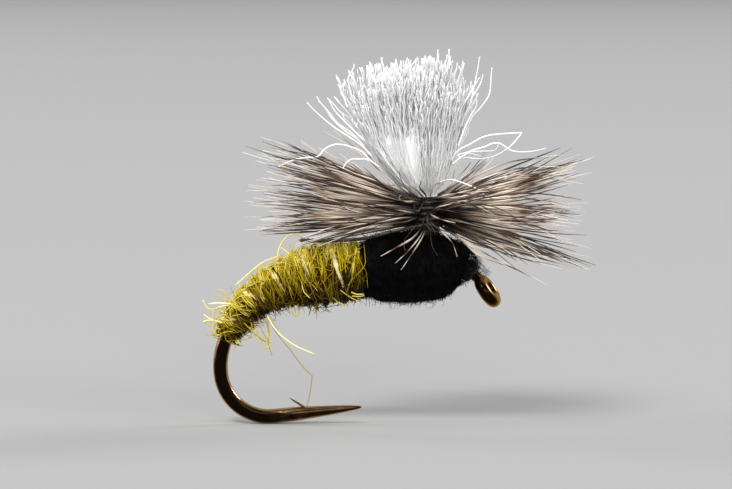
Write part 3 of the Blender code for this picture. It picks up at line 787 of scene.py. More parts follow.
# Loose fibres of the body: (radius, tone, points), all in mm.
BODY_STRAYS = (
    (0.026, 0.97, ((-7.65, -0.35, 1.27), (-8.2, -0.4, 1.05), (-8.64, -0.42, 0.69), (-9.18, -0.4, 0.22))),
    (0.03, 0.98, ((-7.6, -0.3, 1.1), (-7.62, -0.34, 1.31), (-7.55, -0.38, 1.64), (-7.36, -0.4, 1.93),
        (-7.11, -0.4, 2.09), (-6.82, -0.36, 2.04), (-6.6, -0.3, 1.9))),
    (0.028, 0.97, ((-7.51, -0.35, 1.6), (-7.38, -0.4, 1.52), (-7.2, -0.45, 1.38))),
    (0.02, 0.9, ((-9.4, -0.2, -0.25), (-9.52, -0.24, -0.07), (-9.65, -0.22, 0.04), (-9.84, -0.2, 0.04))),
    (0.018, 0.9, ((-9.45, -0.25, -0.4), (-9.7, -0.3, -0.2), (-9.95, -0.32, -0.04))),
    (0.034, 1.0, ((-9.3, -0.3, -0.46), (-9.8, -0.36, -0.42), (-10.13, -0.38, -0.45))),
    (0.026, 0.97, ((-9.4, -0.3, -0.5), (-9.73, -0.36, -0.55), (-9.87, -0.38, -0.62))),
    (0.024, 0.96, ((-10.34, -0.1, -0.33), (-10.27, -0.12, -0.5), (-10.15, -0.14, -0.64),
        (-9.85, -0.2, -0.68), (-9.65, -0.25, -0.73), (-9.36, -0.3, -0.84))),
    (0.026, 0.98, ((-10.32, -0.3, -0.84), (-10.02, -0.34, -1.02), (-9.6, -0.36, -1.13))),
    (0.028, 0.98, ((-10.34, -0.25, -1.12), (-10.2, -0.3, -1.06), (-9.98, -0.34, -1.05),
        (-9.6, -0.36, -1.16))),
    (0.02, 0.92, ((-10.32, -0.2, -1.11), (-10.02, -0.26, -1.24), (-9.55, -0.34, -1.45))),
    (0.027, 0.9, ((-9.75, -0.3, -0.62), (-9.96, -0.34, -0.66), (-9.95, -0.36, -1.05), (-9.98, -0.36, -1.42),
        (-9.84, -0.36, -1.56), (-9.51, -0.34, -1.6))),
    (0.02, 0.85, ((-9.0, -0.52, -0.95), (-8.56, -0.5, -1.42), (-8.2, -0.42, -1.71), (-7.98, -0.36, -1.85))),
    (0.022, 0.9, ((-8.64, -0.4, -1.3), (-8.35, -0.42, -1.71), (-8.2, -0.42, -1.96), (-8.02, -0.4, -2.07),
        (-7.93, -0.36, -1.89), (-7.98, -0.32, -1.5))),
    (0.02, 0.88, ((-8.45, -0.35, -1.3), (-8.27, -0.36, -1.71), (-8.05, -0.34, -1.82), (-7.8, -0.3, -1.85))),
    (0.02, 0.8, ((-8.05, -0.3, -0.9), (-7.95, -0.28, -1.42), (-7.95, -0.26, -1.96), (-7.84, -0.2, -2.33))),
    (0.018, 0.75, ((-8.2, -0.2, -0.9), (-7.98, -0.2, -1.35), (-7.98, -0.16, -1.98))),
    (0.02, 0.8, ((-8.38, -0.3, -0.85), (-8.2, -0.3, -1.42), (-7.98, -0.26, -1.78))),
    (0.018, 0.8, ((-9.65, -0.2, -1.82), (-9.29, -0.32, -1.8), (-8.82, -0.34, -1.75), (-8.53, -0.2, -1.67))),
    (0.02, 0.85, ((-9.25, -0.3, -2.15), (-9.12, -0.3, -1.89), (-9.15, -0.25, -1.67))),
    (0.018, 0.8, ((-8.62, -0.4, -1.0), (-8.55, -0.44, -1.42), (-8.67, -0.38, -1.72))),
    (0.03, 1.0, ((-8.0, -0.36, -0.9), (-7.73, -0.42, -1.35), (-7.36, -0.44, -1.71), (-6.93, -0.42, -2.0),
        (-6.27, -0.36, -2.29))),
    (0.016, 0.8, ((-7.95, -0.3, -0.85), (-7.7, -0.32, -1.28), (-7.58, -0.3, -1.36))),
    (0.022, 0.88, ((-7.18, -0.5, -0.5), (-7.02, -0.56, -0.85), (-6.87, -0.54, -0.8), (-6.9, -0.48, -0.4))),
    (0.026, 0.85, ((-6.35, -0.3, -0.72), (-6.16, -0.36, -0.4))),
    (0.024, 0.8, ((-6.29, -0.1, -0.82), (-6.13, -0.2, -0.45))),
    (0.02, 0.9, ((-5.62, -0.7, -0.2), (-5.29, -0.72, -0.44), (-4.93, -0.68, -0.36))),
    (0.02, 0.9, ((-5.35, -0.95, 0.1), (-4.95, -0.92, -0.18), (-4.64, -0.85, -0.33))),
    (0.024, 0.96, ((-4.95, -0.9, 0.02), (-4.75, -0.96, -0.05), (-4.5, -0.98, -0.04))),
    (0.022, 0.96, ((-4.92, -0.85, -0.12), (-4.72, -0.92, -0.13), (-4.48, -0.94, -0.1))),
    (0.02, 0.95, ((-6.75, -0.98, 0.4), (-6.66, -1.06, 0.05), (-6.45, -1.02, -0.18))),
)
# The longest loose fibre hangs from the body to the spear and has a kink in it.
KINKED_RADIUS = 0.018 * MM
KINKED_STRAY = (
    ((-8.00, -0.34, -0.95), (-7.65, -0.40, -1.53), (-7.18, -0.44, -2.11), (-6.71, -0.46, -2.73),
     (-6.38, -0.46, -3.05)),
    ((-6.38, -0.46, -3.05), (-6.41, -0.40, -3.40), (-6.49, -0.32, -3.85), (-6.57, -0.27, -4.20)),
)


def make_strays(name, table, count, material, slot, sides=5, thickness=1.0):
    """Loose strands through listed points."""
    t = np.linspace(0.0, 1.0, count)
    paths = [resampled(np.array(points) * MM, count) for _, _, points in table]
    radii = [radius * thickness * MM * (1.0 - 0.25 * t**4) for radius, _, _ in table]
    tones = [tone for _, tone, _ in table]
    placed(strands(name, paths, radii, tones, material, sides), slot=slot)


def make_kinked_stray(material):
    """The longest loose fibre, in two curves that meet at a kink."""
    first, second = (resampled(np.array(points) * MM, 20) for points in KINKED_STRAY)
    path = np.concatenate([first, second[1:]])
    fibre = strands("abdomen_long_fibre", path[None], KINKED_RADIUS, [0.66], material, 5)
    placed(fibre, slot="olive_dubbing")


RIB_OFFSETS = (-0.075 * MM, -0.025 * MM, 0.025 * MM, 0.075 * MM)
RIB_TONES = (0.2, 0.7, 1.0, 0.5)
RIB_STRAND_RADIUS = 0.038 * MM


def make_rib(material):
    """Four straw-coloured strands side by side, lying in one of the rope's grooves."""
    surface = radius_grid("abdomen_dubbing", ABDOMEN_RANGE, 150, 48)
    distance = np.linspace(*RIB_RANGE, 300)
    angle = rope_turn(distance) + math.pi / ROPE_STARTS
    proud = 0.03 * MM + 0.06 * MM * np.cos(angle)
    radius = grid_radius(surface, distance, angle) + proud
    _, _, backward = line_at(distance)
    rng = np.random.default_rng(53)
    paths = []
    for offset in RIB_OFFSETS:
        wave = wavy(rng, 1, np.linspace(0.0, 1.0, len(distance))[None], 0.008 * MM)[0]
        centre = round_shank(distance, angle, radius + wave - abs(offset) * 0.3)
        paths.append(centre + backward * (offset + wave)[:, None])
    rib = strands("rib_strand", paths, RIB_STRAND_RADIUS, RIB_TONES, material, 6)
    placed(rib, "abdomen_rib", slot="rib_strand")


# Where along the shank each coat of black fibres grows, how many, and their reach, radius and disorder.
THORAX_COATS = (
    ("thorax_fuzz", THORAX_RANGE, 3600, (0.03, 0.22), (0.008, 0.013), 0.32),
    ("thorax_hairs", THORAX_RANGE, 420, (0.16, 0.42), (0.005, 0.008), 0.30),
    ("thorax_back_fuzz", (4.22 * MM, 4.39 * MM), 500, (0.02, 0.12), (0.008, 0.013), 0.35),
    ("head_fuzz", (HEAD_START, 0.97 * MM), 520, (0.04, 0.24), (0.007, 0.011), 0.28),
)


def make_thorax(fur):
    """A soft ball of black fur, covered with short fine fibres that also hide the head's thread."""
    points, faces = lumpy_copy("thorax_dubbing", 0.07 * MM, 3, 0.5 * MM, 7, 0.04 * MM, 0.04 * MM)
    core = add_mesh("thorax_core", points, faces, {"tone": np.full(len(points), 0.25)}, fur)
    placed(core, "thorax_dubbing", slot="black_dubbing")
    surface = radius_grid("thorax_dubbing", THORAX_RANGE, 60, 40)
    rng = np.random.default_rng(23)
    for coat in THORAX_COATS:
        fuzz(rng, surface, fur, *coat)


def fuzz(rng, surface, fur, name, ends, count, reach, width, disorder):
    """Short curved fibres that grow from the thorax, and ahead of it from a cone down to the head."""
    low, high = THORAX_RANGE
    t = np.linspace(0.0, 1.0, 7)
    start = rng.uniform(*ends, count)
    angle = rng.uniform(0, TAU, count)
    sweep = rng.normal(0.0, disorder, count)
    drift = rng.normal(0.0, disorder * 0.55, count) * MM
    rise = rng.uniform(*reach, count) * MM
    curl = rng.uniform(0.5, 1.6, count)
    theta = angle[:, None] + sweep[:, None] * t + rng.normal(0, 0.10, (count, 1)) * np.sin(TAU * t)
    distance = start[:, None] + drift[:, None] * t
    skin = grid_radius(surface, np.clip(distance, low, high), theta)
    ahead = np.clip((low - distance) / (low - HEAD_START), 0, 1)
    skin = skin + (HEAD_RADIUS - skin) * ahead
    lift = rise[:, None] * np.sin(np.minimum(t * curl[:, None], 1.3) * math.pi / 2)
    paths = round_shank(distance, theta, skin + lift - 0.03 * MM)
    radii = rng.uniform(*width, count)[:, None] * MM * (1.0 - 0.5 * t)
    tones = np.clip(rng.beta(1.2, 4.5, count), 0, 1)
    placed(strands(name, paths, radii, tones, fur), slot="black_dubbing")


# ---------------------------------------------------------------- post and hackle


def post_axis():
    """The post's X, and the bottom and top of the wraps round its foot."""
    low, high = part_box("post_thread_wraps")
    return (low.x + high.x) / 2, low.z, high.z


def post_envelope():
    """The post's centre in X and its half-widths at even heights, from its CAD solid."""
    tree = tree_of("post_yarn")
    _, _, neck = post_axis()
    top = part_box("post_yarn")[1].z
    far = 12.0 * MM
    rows = []
    for z in np.linspace(neck, top - 0.05 * MM, 40):
        left = tree.ray_cast(Vector((-far, 0, z)), Vector((1, 0, 0)), far * 2)[0].x
        right = tree.ray_cast(Vector((far, 0, z)), Vector((-1, 0, 0)), far * 2)[0].x
        middle = (left + right) / 2
        near = tree.ray_cast(Vector((middle, -far, z)), Vector((0, 1, 0)), far)[0].y
        rows.append((z, middle, (right - left) / 2, -near))
    rows = np.array(rows).T
    widest = int(np.argmax(rows[2]))
    return rows[:, : widest + 1], top


# The post's filaments stand in tufts. Places across the bundle are shares of its half-width.
TUFTS = 60
FILAMENTS = 960
FILAMENT_STEPS = 34
TUFT_SCATTER = 0.085
BUNDLE_EDGE = 1.03
CROWN_DROP = 0.14 * MM
CROWN_POWER = 2.8
TAIL_SIDE_DROP = 0.45 * MM
STRAY_SHARE = 0.28
TUFT_CRINKLE = 0.050 * MM
OWN_CRINKLE = 0.090 * MM
SPLAY = 0.13 * MM
HEART_HEIGHT = 0.84
HEART_WIDTH = 0.86
HEART_TAPER = 1.2 * MM


def filament_places(rng):
    """Each filament's tuft, its place across the bundle and its distance from the middle."""
    home = rng.integers(0, TUFTS, FILAMENTS)
    tuft_rho = np.sqrt((np.arange(TUFTS) + 0.5) / TUFTS)
    tuft_phi = np.arange(TUFTS) * GOLDEN_ANGLE + rng.normal(0, 0.15, TUFTS)
    across_x = (tuft_rho * np.cos(tuft_phi))[home] + rng.normal(0, TUFT_SCATTER, FILAMENTS)
    across_y = (tuft_rho * np.sin(tuft_phi))[home] + rng.normal(0, TUFT_SCATTER, FILAMENTS)
    rho = np.hypot(across_x, across_y)
    shrink = np.minimum(1.0, BUNDLE_EDGE / np.maximum(rho, 1e-6))
    return home, across_x * shrink, across_y * shrink, np.minimum(rho, BUNDLE_EDGE)


def filament_ends(rng, home, across_x, rho, widest, top):
    """How high each filament reaches: a ragged crown, lower at its edge and on the side of the bend."""
    tuft_length = rng.normal(-0.04 * MM, 0.26 * MM, TUFTS)
    own_length = 0.14 * MM - rng.gamma(1.6, 0.19 * MM, FILAMENTS)
    peak = top - CROWN_DROP
    end = peak - (peak - widest) * rho**CROWN_POWER + tuft_length[home] + own_length
    tail_side = np.clip(-across_x, 0, 1) ** 1.5
    return np.minimum(end - TAIL_SIDE_DROP * tail_side, top + 0.10 * MM + tuft_length[home] * 0.5)


def bundle_shape(rows, x, height):
    """The bundle's middle and half-widths at each height. It goes on widening above its widest row."""
    growth = (rows[2:, -1] - rows[2:, -4]) / (rows[0, -1] - rows[0, -4])
    beyond = np.clip(height - rows[0, -1], 0, None)
    below = height < rows[0, 0]
    middle = np.interp(height, rows[0], rows[1])
    half_x = np.interp(height, rows[0], rows[2]) + beyond * growth[0] * 0.5
    half_y = np.interp(height, rows[0], rows[3]) + beyond * growth[1] * 0.5
    neck_half = rows[2, 0]
    return np.where(below, x, middle), np.where(below, neck_half, half_x), np.where(below, neck_half, half_y)


def make_post(yarn):
    """Combed filaments in tufts, which rise through the wraps and flare to a ragged top."""
    rows, top = post_envelope()
    x, bottom, neck = post_axis()
    rng = np.random.default_rng(31)
    count = FILAMENTS
    home, across_x, across_y, rho = filament_places(rng)
    end = filament_ends(rng, home, across_x, rho, rows[0, -1], top)
    height = bottom + (end - bottom)[:, None] * np.linspace(0.0, 1.0, FILAMENT_STEPS)
    middle, half_x, half_y = bundle_shape(rows, x, height)
    free = np.clip((height - neck) / (top - neck), 0, 1)
    stray = (rng.uniform(0, 1, count) < STRAY_SHARE) * rng.uniform(0.03, 0.20, count) * (rho > 0.62)
    spread = 1.0 + stray[:, None] * free**1.5
    tuft_wave = [wavy(rng, TUFTS, free.mean(0)[None], TUFT_CRINKLE)[home] for _ in range(2)]
    own_wave = [wavy(rng, count, free, OWN_CRINKLE) for _ in range(2)]
    lean = rng.normal(0.0, SPLAY, (2, count, 1)) * np.clip((free - 0.50) / 0.50, 0, 1) ** 1.5
    px = middle + half_x * spread * across_x[:, None] + tuft_wave[0] + own_wave[0] + lean[0]
    py = half_y * spread * across_y[:, None] + tuft_wave[1] + own_wave[1] + lean[1]
    width = rng.uniform(0.022 * MM, 0.031 * MM, count)[:, None]
    radii = width * (0.45 + 0.55 * smooth_step(free, 0.0, 0.35))
    tones = np.clip(rng.normal(0.70, 0.25, count), 0, 1)
    spin = rng.uniform(0, TAU, count)
    post = strands("post_filaments", np.stack([px, py, height], -1), radii, tones, yarn, 3, spin=spin)
    placed(post, "post_yarn", slot="white_yarn")
    make_post_heart(rows, yarn)


def make_post_heart(rows, yarn):
    """The middle of the bundle, where the filaments are packed too close to tell apart."""
    z, middle, half_x, half_y = rows
    inside = np.linspace(z[0] - 0.10 * MM, z[0] + HEART_HEIGHT * (z[-1] - z[0]), 30)
    around = np.linspace(0.0, TAU, 48, endpoint=False)
    share = HEART_WIDTH * np.sqrt(np.clip((inside[-1] - inside) / HEART_TAPER, 0.01, 1.0))
    centre = np.interp(inside, z, middle)[:, None]
    points = np.stack([
        centre + (share * np.interp(inside, z, half_x))[:, None] * np.cos(around),
        (share * np.interp(inside, z, half_y))[:, None] * np.sin(around),
        np.repeat(inside[:, None], len(around), 1),
    ], -1)
    faces = tube_faces(*points.shape[:2])
    points = points.reshape(-1, 3)
    heart = add_mesh("post_heart", points, faces, {"tone": np.full(len(points), 0.6)}, yarn)
    placed(heart, slot="white_yarn")


def wavy(rng, count, free, size):
    """A crinkle that grows towards the free end."""
    total = 0.0
    for turns in (1.4, 3.1, 6.2, 9.5):
        phase = rng.uniform(0, TAU, count)[:, None]
        strength = rng.normal(0, 1, count)[:, None] * size / turns**0.7
        total = total + strength * (np.sin(free * TAU * turns + phase) - np.sin(phase))
    return total * free**0.6


# Loose filaments of the post: (radius, tone, points), all in mm.
POST_STRAYS = (
    (0.036, 0.9, ((-4.0, -0.6, 4.55), (-4.31, -0.7, 4.84), (-4.56, -0.75, 5.09), (-4.93, -0.8, 5.27),
        (-5.29, -0.82, 5.36), (-5.55, -0.84, 5.36), (-5.8, -0.86, 5.27), (-5.98, -0.88, 5.13),
        (-6.09, -0.9, 4.98), (-6.27, -0.92, 4.91), (-6.64, -0.95, 4.89), (-6.93, -0.96, 4.84),
        (-7.25, -0.97, 4.73), (-7.47, -0.98, 4.62), (-7.65, -0.98, 4.53))),
    (0.038, 0.9, ((-3.95, -0.8, 4.55), (-4.35, -0.9, 4.82), (-4.71, -0.95, 4.84), (-4.93, -1.0, 4.84),
        (-5.11, -1.04, 4.73), (-5.22, -1.06, 4.58), (-5.25, -1.07, 4.47))),
    (0.036, 1.0, ((-4.2, -0.4, 4.9), (-4.53, -0.4, 5.27), (-5.0, -0.42, 5.6), (-5.55, -0.45, 5.96),
        (-6.09, -0.48, 6.4), (-6.35, -0.5, 6.65), (-6.55, -0.5, 6.87))),
    (0.036, 1.0, ((-4.3, 0.1, 5.0), (-4.71, 0.1, 5.49), (-5.18, 0.12, 5.82), (-5.62, 0.12, 6.22),
        (-5.91, 0.14, 6.65), (-6.16, 0.14, 6.91))),
    (0.034, 1.0, ((-4.5, -0.2, 5.3), (-4.93, -0.24, 5.75), (-5.44, -0.28, 6.11), (-5.73, -0.3, 6.47),
        (-5.98, -0.3, 6.76), (-6.13, -0.32, 6.95), (-6.2, -0.32, 7.09))),
    (0.034, 1.0, ((-4.5, -0.6, 5.5), (-4.82, -0.64, 5.82), (-5.18, -0.68, 6.18), (-5.55, -0.7, 6.58),
        (-5.73, -0.72, 6.91), (-5.82, -0.72, 7.05))),
    (0.034, 1.0, ((-4.93, 0.4, 6.22), (-5.36, 0.44, 6.51), (-5.62, 0.46, 6.8), (-5.76, 0.48, 6.95))),
    (0.034, 1.0, ((-5.1, -0.3, 6.7), (-5.18, -0.32, 6.95), (-5.33, -0.34, 7.31), (-5.44, -0.36, 7.53))),
    (0.036, 1.0, ((-4.9, 0.1, 6.8), (-4.96, 0.1, 7.13), (-5.04, 0.12, 7.49), (-5.05, 0.12, 7.78),
        (-4.93, 0.14, 8.0), (-4.85, 0.14, 8.15), (-4.87, 0.14, 8.25))),
    (0.034, 1.0, ((-3.75, 0.2, 7.6), (-3.78, 0.2, 8.11), (-3.84, 0.2, 8.33), (-3.87, 0.2, 8.49))),
    (0.036, 1.0, ((-1.35, -0.5, 4.75), (-1.1, -0.6, 5.13), (-0.65, -0.7, 5.38), (-0.27, -0.76, 5.6),
        (0.1, -0.8, 5.71), (0.64, -0.82, 5.76), (1.12, -0.84, 5.79), (1.2, -0.84, 5.8), (1.17, -0.85, 5.74),
        (1.07, -0.85, 5.62), (0.85, -0.84, 5.36), (0.53, -0.8, 5.11), (0.13, -0.74, 4.91),
        (-0.27, -0.66, 4.84), (-0.71, -0.58, 4.87), (-1.2, -0.5, 4.95))),
    (0.038, 1.0, ((-1.3, -0.8, 4.65), (-1.0, -0.9, 4.9), (-0.64, -0.98, 5.13), (-0.38, -1.02, 5.22),
        (-0.09, -1.05, 5.31), (0.09, -1.07, 5.4), (0.38, -1.08, 5.42), (0.64, -1.1, 5.27),
        (0.85, -1.12, 5.15), (1.18, -1.14, 5.11), (1.55, -1.16, 5.13), (1.8, -1.18, 5.18),
        (2.05, -1.2, 5.24))),
    (0.034, 1.0, ((-1.3, -0.3, 4.8), (-0.93, -0.36, 5.02), (-0.45, -0.4, 5.09), (0.09, -0.44, 5.11),
        (0.27, -0.46, 5.16), (0.38, -0.46, 5.35))),
    (0.034, 1.0, ((-1.35, 0.2, 4.8), (-1.18, 0.24, 4.95), (-0.64, 0.3, 4.98), (-0.35, 0.34, 4.91),
        (-0.2, 0.36, 4.87))),
    (0.036, 1.0, ((-1.3, 0.1, 4.7), (-1.05, 0.14, 5.2), (-0.78, 0.18, 5.85), (-0.56, 0.2, 6.33),
        (-0.27, 0.22, 6.65), (-0.02, 0.24, 6.98), (0.07, 0.24, 7.2), (0.11, 0.25, 7.49), (0.13, 0.26, 7.85),
        (0.16, 0.26, 8.11))),
    (0.034, 1.0, ((-0.95, -0.2, 6.0), (-0.85, -0.2, 6.4), (-0.64, -0.22, 6.84), (-0.53, -0.24, 7.31),
        (-0.42, -0.24, 7.85), (-0.35, -0.25, 8.22), (-0.31, -0.26, 8.52))),
    (0.034, 1.0, ((-0.8, 0.5, 6.7), (-0.42, 0.54, 7.24), (-0.24, 0.56, 7.56), (-0.16, 0.56, 7.85))),
    (0.034, 1.0, ((-0.9, -0.5, 6.8), (-0.56, -0.54, 7.38), (-0.38, -0.56, 7.67), (-0.31, -0.56, 7.78))),
    (0.034, 1.0, ((-1.1, -0.7, 5.3), (-0.85, -0.74, 5.96), (-0.64, -0.76, 6.4), (-0.45, -0.78, 6.73),
        (-0.42, -0.78, 6.98))),
    (0.032, 0.8, ((-1.75, -0.6, 4.0), (-1.36, -1.1, 4.11), (-1.0, -1.6, 4.04), (-0.56, -2.0, 3.89),
        (-0.13, -2.2, 3.67))),
    (0.032, 0.8, ((-1.4, 0.3, 4.4), (-1.0, 0.36, 4.69), (-0.78, 0.4, 4.91), (-0.64, 0.42, 5.13))),
)


def clump_line(node, x):
    """(azimuth, rise, root radius, root height, reach) of a CAD clump of barbs."""
    points = np.array([v.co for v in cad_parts[node].data.vertices], float)
    radial = np.hypot(points[:, 0] - x, points[:, 1])
    tip = points[radial > radial.max() - 0.03 * MM].mean(0)
    root = points[radial < radial.min() + 0.03 * MM].mean(0)
    azimuth = math.atan2(tip[1], tip[0] - x)
    root_radius, reach = radial.min(), radial.max()
    rise = math.atan2(tip[2] - root[2], reach - root_radius)
    return azimuth, rise, root_radius, root[2], reach


# The hackle. Angles are in degrees. Clumps that point to the side, along -Y, are thinner, and more of their
# barbs get the painted shade.
BARB_BUNDLES = 6
BARB_T = np.linspace(0.0, 1.0, 14)
BARBS_IN_CLUMP = 24
FEWER_AT_SIDE = 12
FEWER_DROOPING = 22
DROOP = math.radians(-5.0)
FAN_HALF_ANGLE = 11.0
SCATTER = 2.6
# Tones of barbs in painted shade and of lit barbs.
SHADED_BARB, PALE_BARB = 0.12, 0.80


def clump_paths(rng, count, x, azimuth, rise, root_radius, root_height, reach):
    """Barbs that leave the coil in a few bundles, each with its own swing, tilt and bow."""
    t = BARB_T
    bundle = rng.integers(0, BARB_BUNDLES, count)

    def shared(values, middle, spread):
        return values[bundle] + rng.normal(middle, spread, count)

    swing = np.radians(shared(rng.uniform(-FAN_HALF_ANGLE, FAN_HALF_ANGLE, BARB_BUNDLES), 0.0, SCATTER))
    tilt = np.radians(shared(rng.normal(0.5, 3.6, BARB_BUNDLES), 0.0, SCATTER))
    length = (reach - root_radius) * rng.uniform(0.78, 1.03, count)
    length = length * (1.0 + 0.06 * abs(math.cos(azimuth)))
    lowest = math.radians(-4.5 - 7.25 * (1.0 + math.cos(azimuth))) + np.radians(rng.uniform(0, 2, count))
    slope = np.maximum(rise + tilt, lowest)
    bow = rng.normal(0.0, 0.17, BARB_BUNDLES)[bundle] * MM + rng.normal(-0.03, 0.08, count) * MM
    bow_side = shared(rng.normal(0.0, 0.25, BARB_BUNDLES), 0.0, 0.10) * MM
    ripple = rng.normal(0.0, 0.03, count) * MM
    run = root_radius * 0.9 + length[:, None] * t
    heading = azimuth + swing[:, None]
    side = bow_side[:, None] * np.sin(math.pi * t * 0.9) + ripple[:, None] * np.sin(TAU * t * 1.5)
    height = root_height + rng.uniform(-0.16, 0.16, count)[:, None] * MM
    height = height + (length[:, None] * t) * np.tan(slope)[:, None]
    height = height - bow[:, None] * np.sin(math.pi * t)
    px = x + run * np.cos(heading) - side * np.sin(heading)
    py = run * np.sin(heading) + side * np.cos(heading)
    return np.stack([px, py, height], -1)


def make_hackle(material):
    """Barbs in small bundles, one piece for each clump of the CAD feather."""
    x, _, _ = post_axis()
    for node in sorted(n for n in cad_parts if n.startswith("hackle_barbs_")):
        number = int(node[-2:])
        rng = np.random.default_rng(100 + number)
        azimuth, rise, *root = clump_line(node, x)
        sideways = max(0.0, -math.sin(azimuth)) ** 4
        fewer = FEWER_DROOPING if rise < DROOP else FEWER_AT_SIDE
        count = round(BARBS_IN_CLUMP - fewer * sideways**0.6)
        rise -= 0.5 * sideways * max(rise, 0.0)
        paths = clump_paths(rng, count, x, azimuth, rise, *root)
        radii = barb_radii(rng.uniform(0.029, 0.044, count), BARB_T)
        # Barbs in painted shade: nearly black copies of the barred colour, more of them on the clumps along
        # -Y.
        in_painted_shade = rng.uniform(0, 1, count) < 0.34 + 0.5 * sideways
        tones = np.where(in_painted_shade, SHADED_BARB, PALE_BARB) + rng.normal(0, 0.12, count)
        shifts = rng.normal(0.0, 0.05, count)
        spin = rng.uniform(-0.6, 0.6, count)
        name = f"barbs_{number:02d}"
        clump = strands(name, paths, radii, np.clip(tones, 0, 1), material, 4, 0.5, spin, shifts)
        placed(clump, node, slot="feather_barbs")


def barb_radii(width, t):
    """A barb swells a little past its root, keeps its width, and tapers in its last tenth."""
    swell = 0.70 + 0.30 * np.sin(math.pi * np.minimum(t * 1.4, 1.0))
    taper = (1.0 - 0.45 * t**2) * (1.0 - 0.60 * smooth_step(t, 0.85, 1.0))
    return np.asarray(width)[:, None] * MM * swell * taper


# Single barbs that stand apart from the rest: (half-width, tone, points), all in mm.
LOOSE_BARBS = (
    (0.022, 0.4, ((-2.1, -0.5, 3.2), (-2.05, -0.8, 3.75), (-1.85, -0.9, 3.96), (-1.62, -1.0, 3.9),
        (-1.55, -1.1, 3.6))),
    (0.04, 0.6, ((-1.75, -0.3, 3.3), (-0.64, -0.36, 4.11), (0.1, -0.4, 4.47), (0.75, -0.42, 4.71),
        (1.55, -0.44, 4.84), (2.71, -0.46, 4.98))),
    (0.044, 0.8, ((-1.75, -0.6, 2.55), (-1.07, -1.3, 2.05), (-0.49, -1.7, 1.5), (0.1, -1.9, 1.25),
        (0.82, -2.0, 1.0), (1.55, -2.1, 0.65), (2.16, -2.2, 0.34))),
    (0.046, 0.9, ((-2.3, -0.6, 2.5), (-2.7, -1.3, 2.05), (-3.3, -2.2, 1.75), (-3.9, -3.0, 1.48))),
    (0.042, 0.9, ((-2.25, -0.6, 2.45), (-2.5, -1.5, 2.05), (-2.95, -2.6, 1.6), (-3.38, -3.5, 1.27))),
    (0.042, 0.9, ((-2.2, -0.6, 2.45), (-2.4, -1.6, 2.05), (-2.8, -2.8, 1.52), (-3.18, -3.8, 1.05))),
    (0.042, 0.8, ((-1.95, -0.6, 2.5), (-1.7, -1.5, 2.25), (-1.35, -2.6, 1.95), (-1.18, -3.6, 1.5))),
    (0.036, 0.6, ((-2.8, -0.3, 3.2), (-3.6, -0.4, 3.85), (-5.25, -0.5, 4.45), (-6.0, -0.55, 4.95),
        (-6.78, -0.6, 5.45))),
    (0.034, 0.6, ((-2.8, -0.4, 3.15), (-4.0, -0.6, 3.6), (-5.2, -0.7, 4.1), (-6.05, -0.8, 4.62),
        (-6.89, -0.9, 5.3))),
    (0.04, 0.65, ((-2.8, 0.2, 3.2), (-3.8, 0.2, 3.8), (-5.25, 0.22, 4.4), (-6.45, 0.24, 4.65),
        (-7.4, 0.26, 4.92), (-8.2, 0.28, 5.1))),
    (0.036, 0.6, ((-2.8, -0.5, 3.1), (-4.4, -0.8, 3.6), (-6.1, -1.1, 3.96), (-7.4, -1.3, 4.6),
        (-8.15, -1.4, 5.08))),
)
# Where single, nearly straight barbs end, in mm.
LOOSE_TIPS = (
    (0.64, -0.6, 4.55), (1.11, 0.5, 4.47), (1.73, -0.9, 4.76), (2.09, 0.8, 4.51), (2.89, -0.4, 4.44),
    (3.0, -1.2, 4.0), (3.6, -0.5, 3.24), (3.5, 0.8, 3.02), (3.4, -1.0, 2.62), (2.6, -1.4, 3.6),
    (-6.78, 0.6, 5.45), (-7.65, -0.5, 5.16), (-8.4, -0.8, 4.1), (-8.7, -0.4, 3.9), (-8.3, 0.5, 3.05),
    (-8.25, -0.7, 2.65), (-7.7, -1.2, 4.6), (-6.9, -1.6, 4.85),
)


def make_loose_barbs(material):
    """Barbs through listed points, and nearly straight ones out to single tips."""
    x, _, _ = post_axis()
    rng = np.random.default_rng(59)
    steps = 20
    t = np.linspace(0.0, 1.0, steps)
    paths = [resampled(np.array(points) * MM, steps) for _, _, points in LOOSE_BARBS]
    widths = [width for width, _, _ in LOOSE_BARBS]
    tones = [tone for _, tone, _ in LOOSE_BARBS]
    for tip in np.array(LOOSE_TIPS) * MM:
        heading = unit((tip - np.array([x, 0.0, 0.0])) * np.array([1.0, 1.0, 0.0]))
        root = np.array([x, 0.0, 2.9 * MM]) + heading * 0.5 * MM
        middle = (root + tip) / 2 + rng.normal(0.0, 0.07 * MM, 3)
        paths.append(resampled(np.array([root, middle, tip]), steps))
        widths.append(rng.uniform(0.030, 0.040))
        tones.append(rng.uniform(0.5, 1.0))
    loose = strands("barbs_loose", paths, barb_radii(widths, t), tones, material, 4, 0.55)
    placed(loose, slot="feather_barbs")


def helix(axis_x, bottom, top, radius, pitch):
    """An upright helix, with 20 points in a turn."""
    turns = (top - bottom) / pitch
    count = int(turns * 20) + 1
    share = np.linspace(0.0, 1.0, count)
    angle = TAU * turns * share
    return np.stack([
        axis_x + radius * np.cos(angle),
        radius * np.sin(angle),
        bottom + (top - bottom) * share,
    ], -1)


THREAD_RADIUS = 0.036 * MM
POST_WRAP_RADIUS = 0.43 * MM
POST_WRAP_PITCH = 0.062 * MM
HEAD_WRAP_RANGE = (0.34 * MM, 0.80 * MM)
HEAD_WRAP_TURNS = 9.0


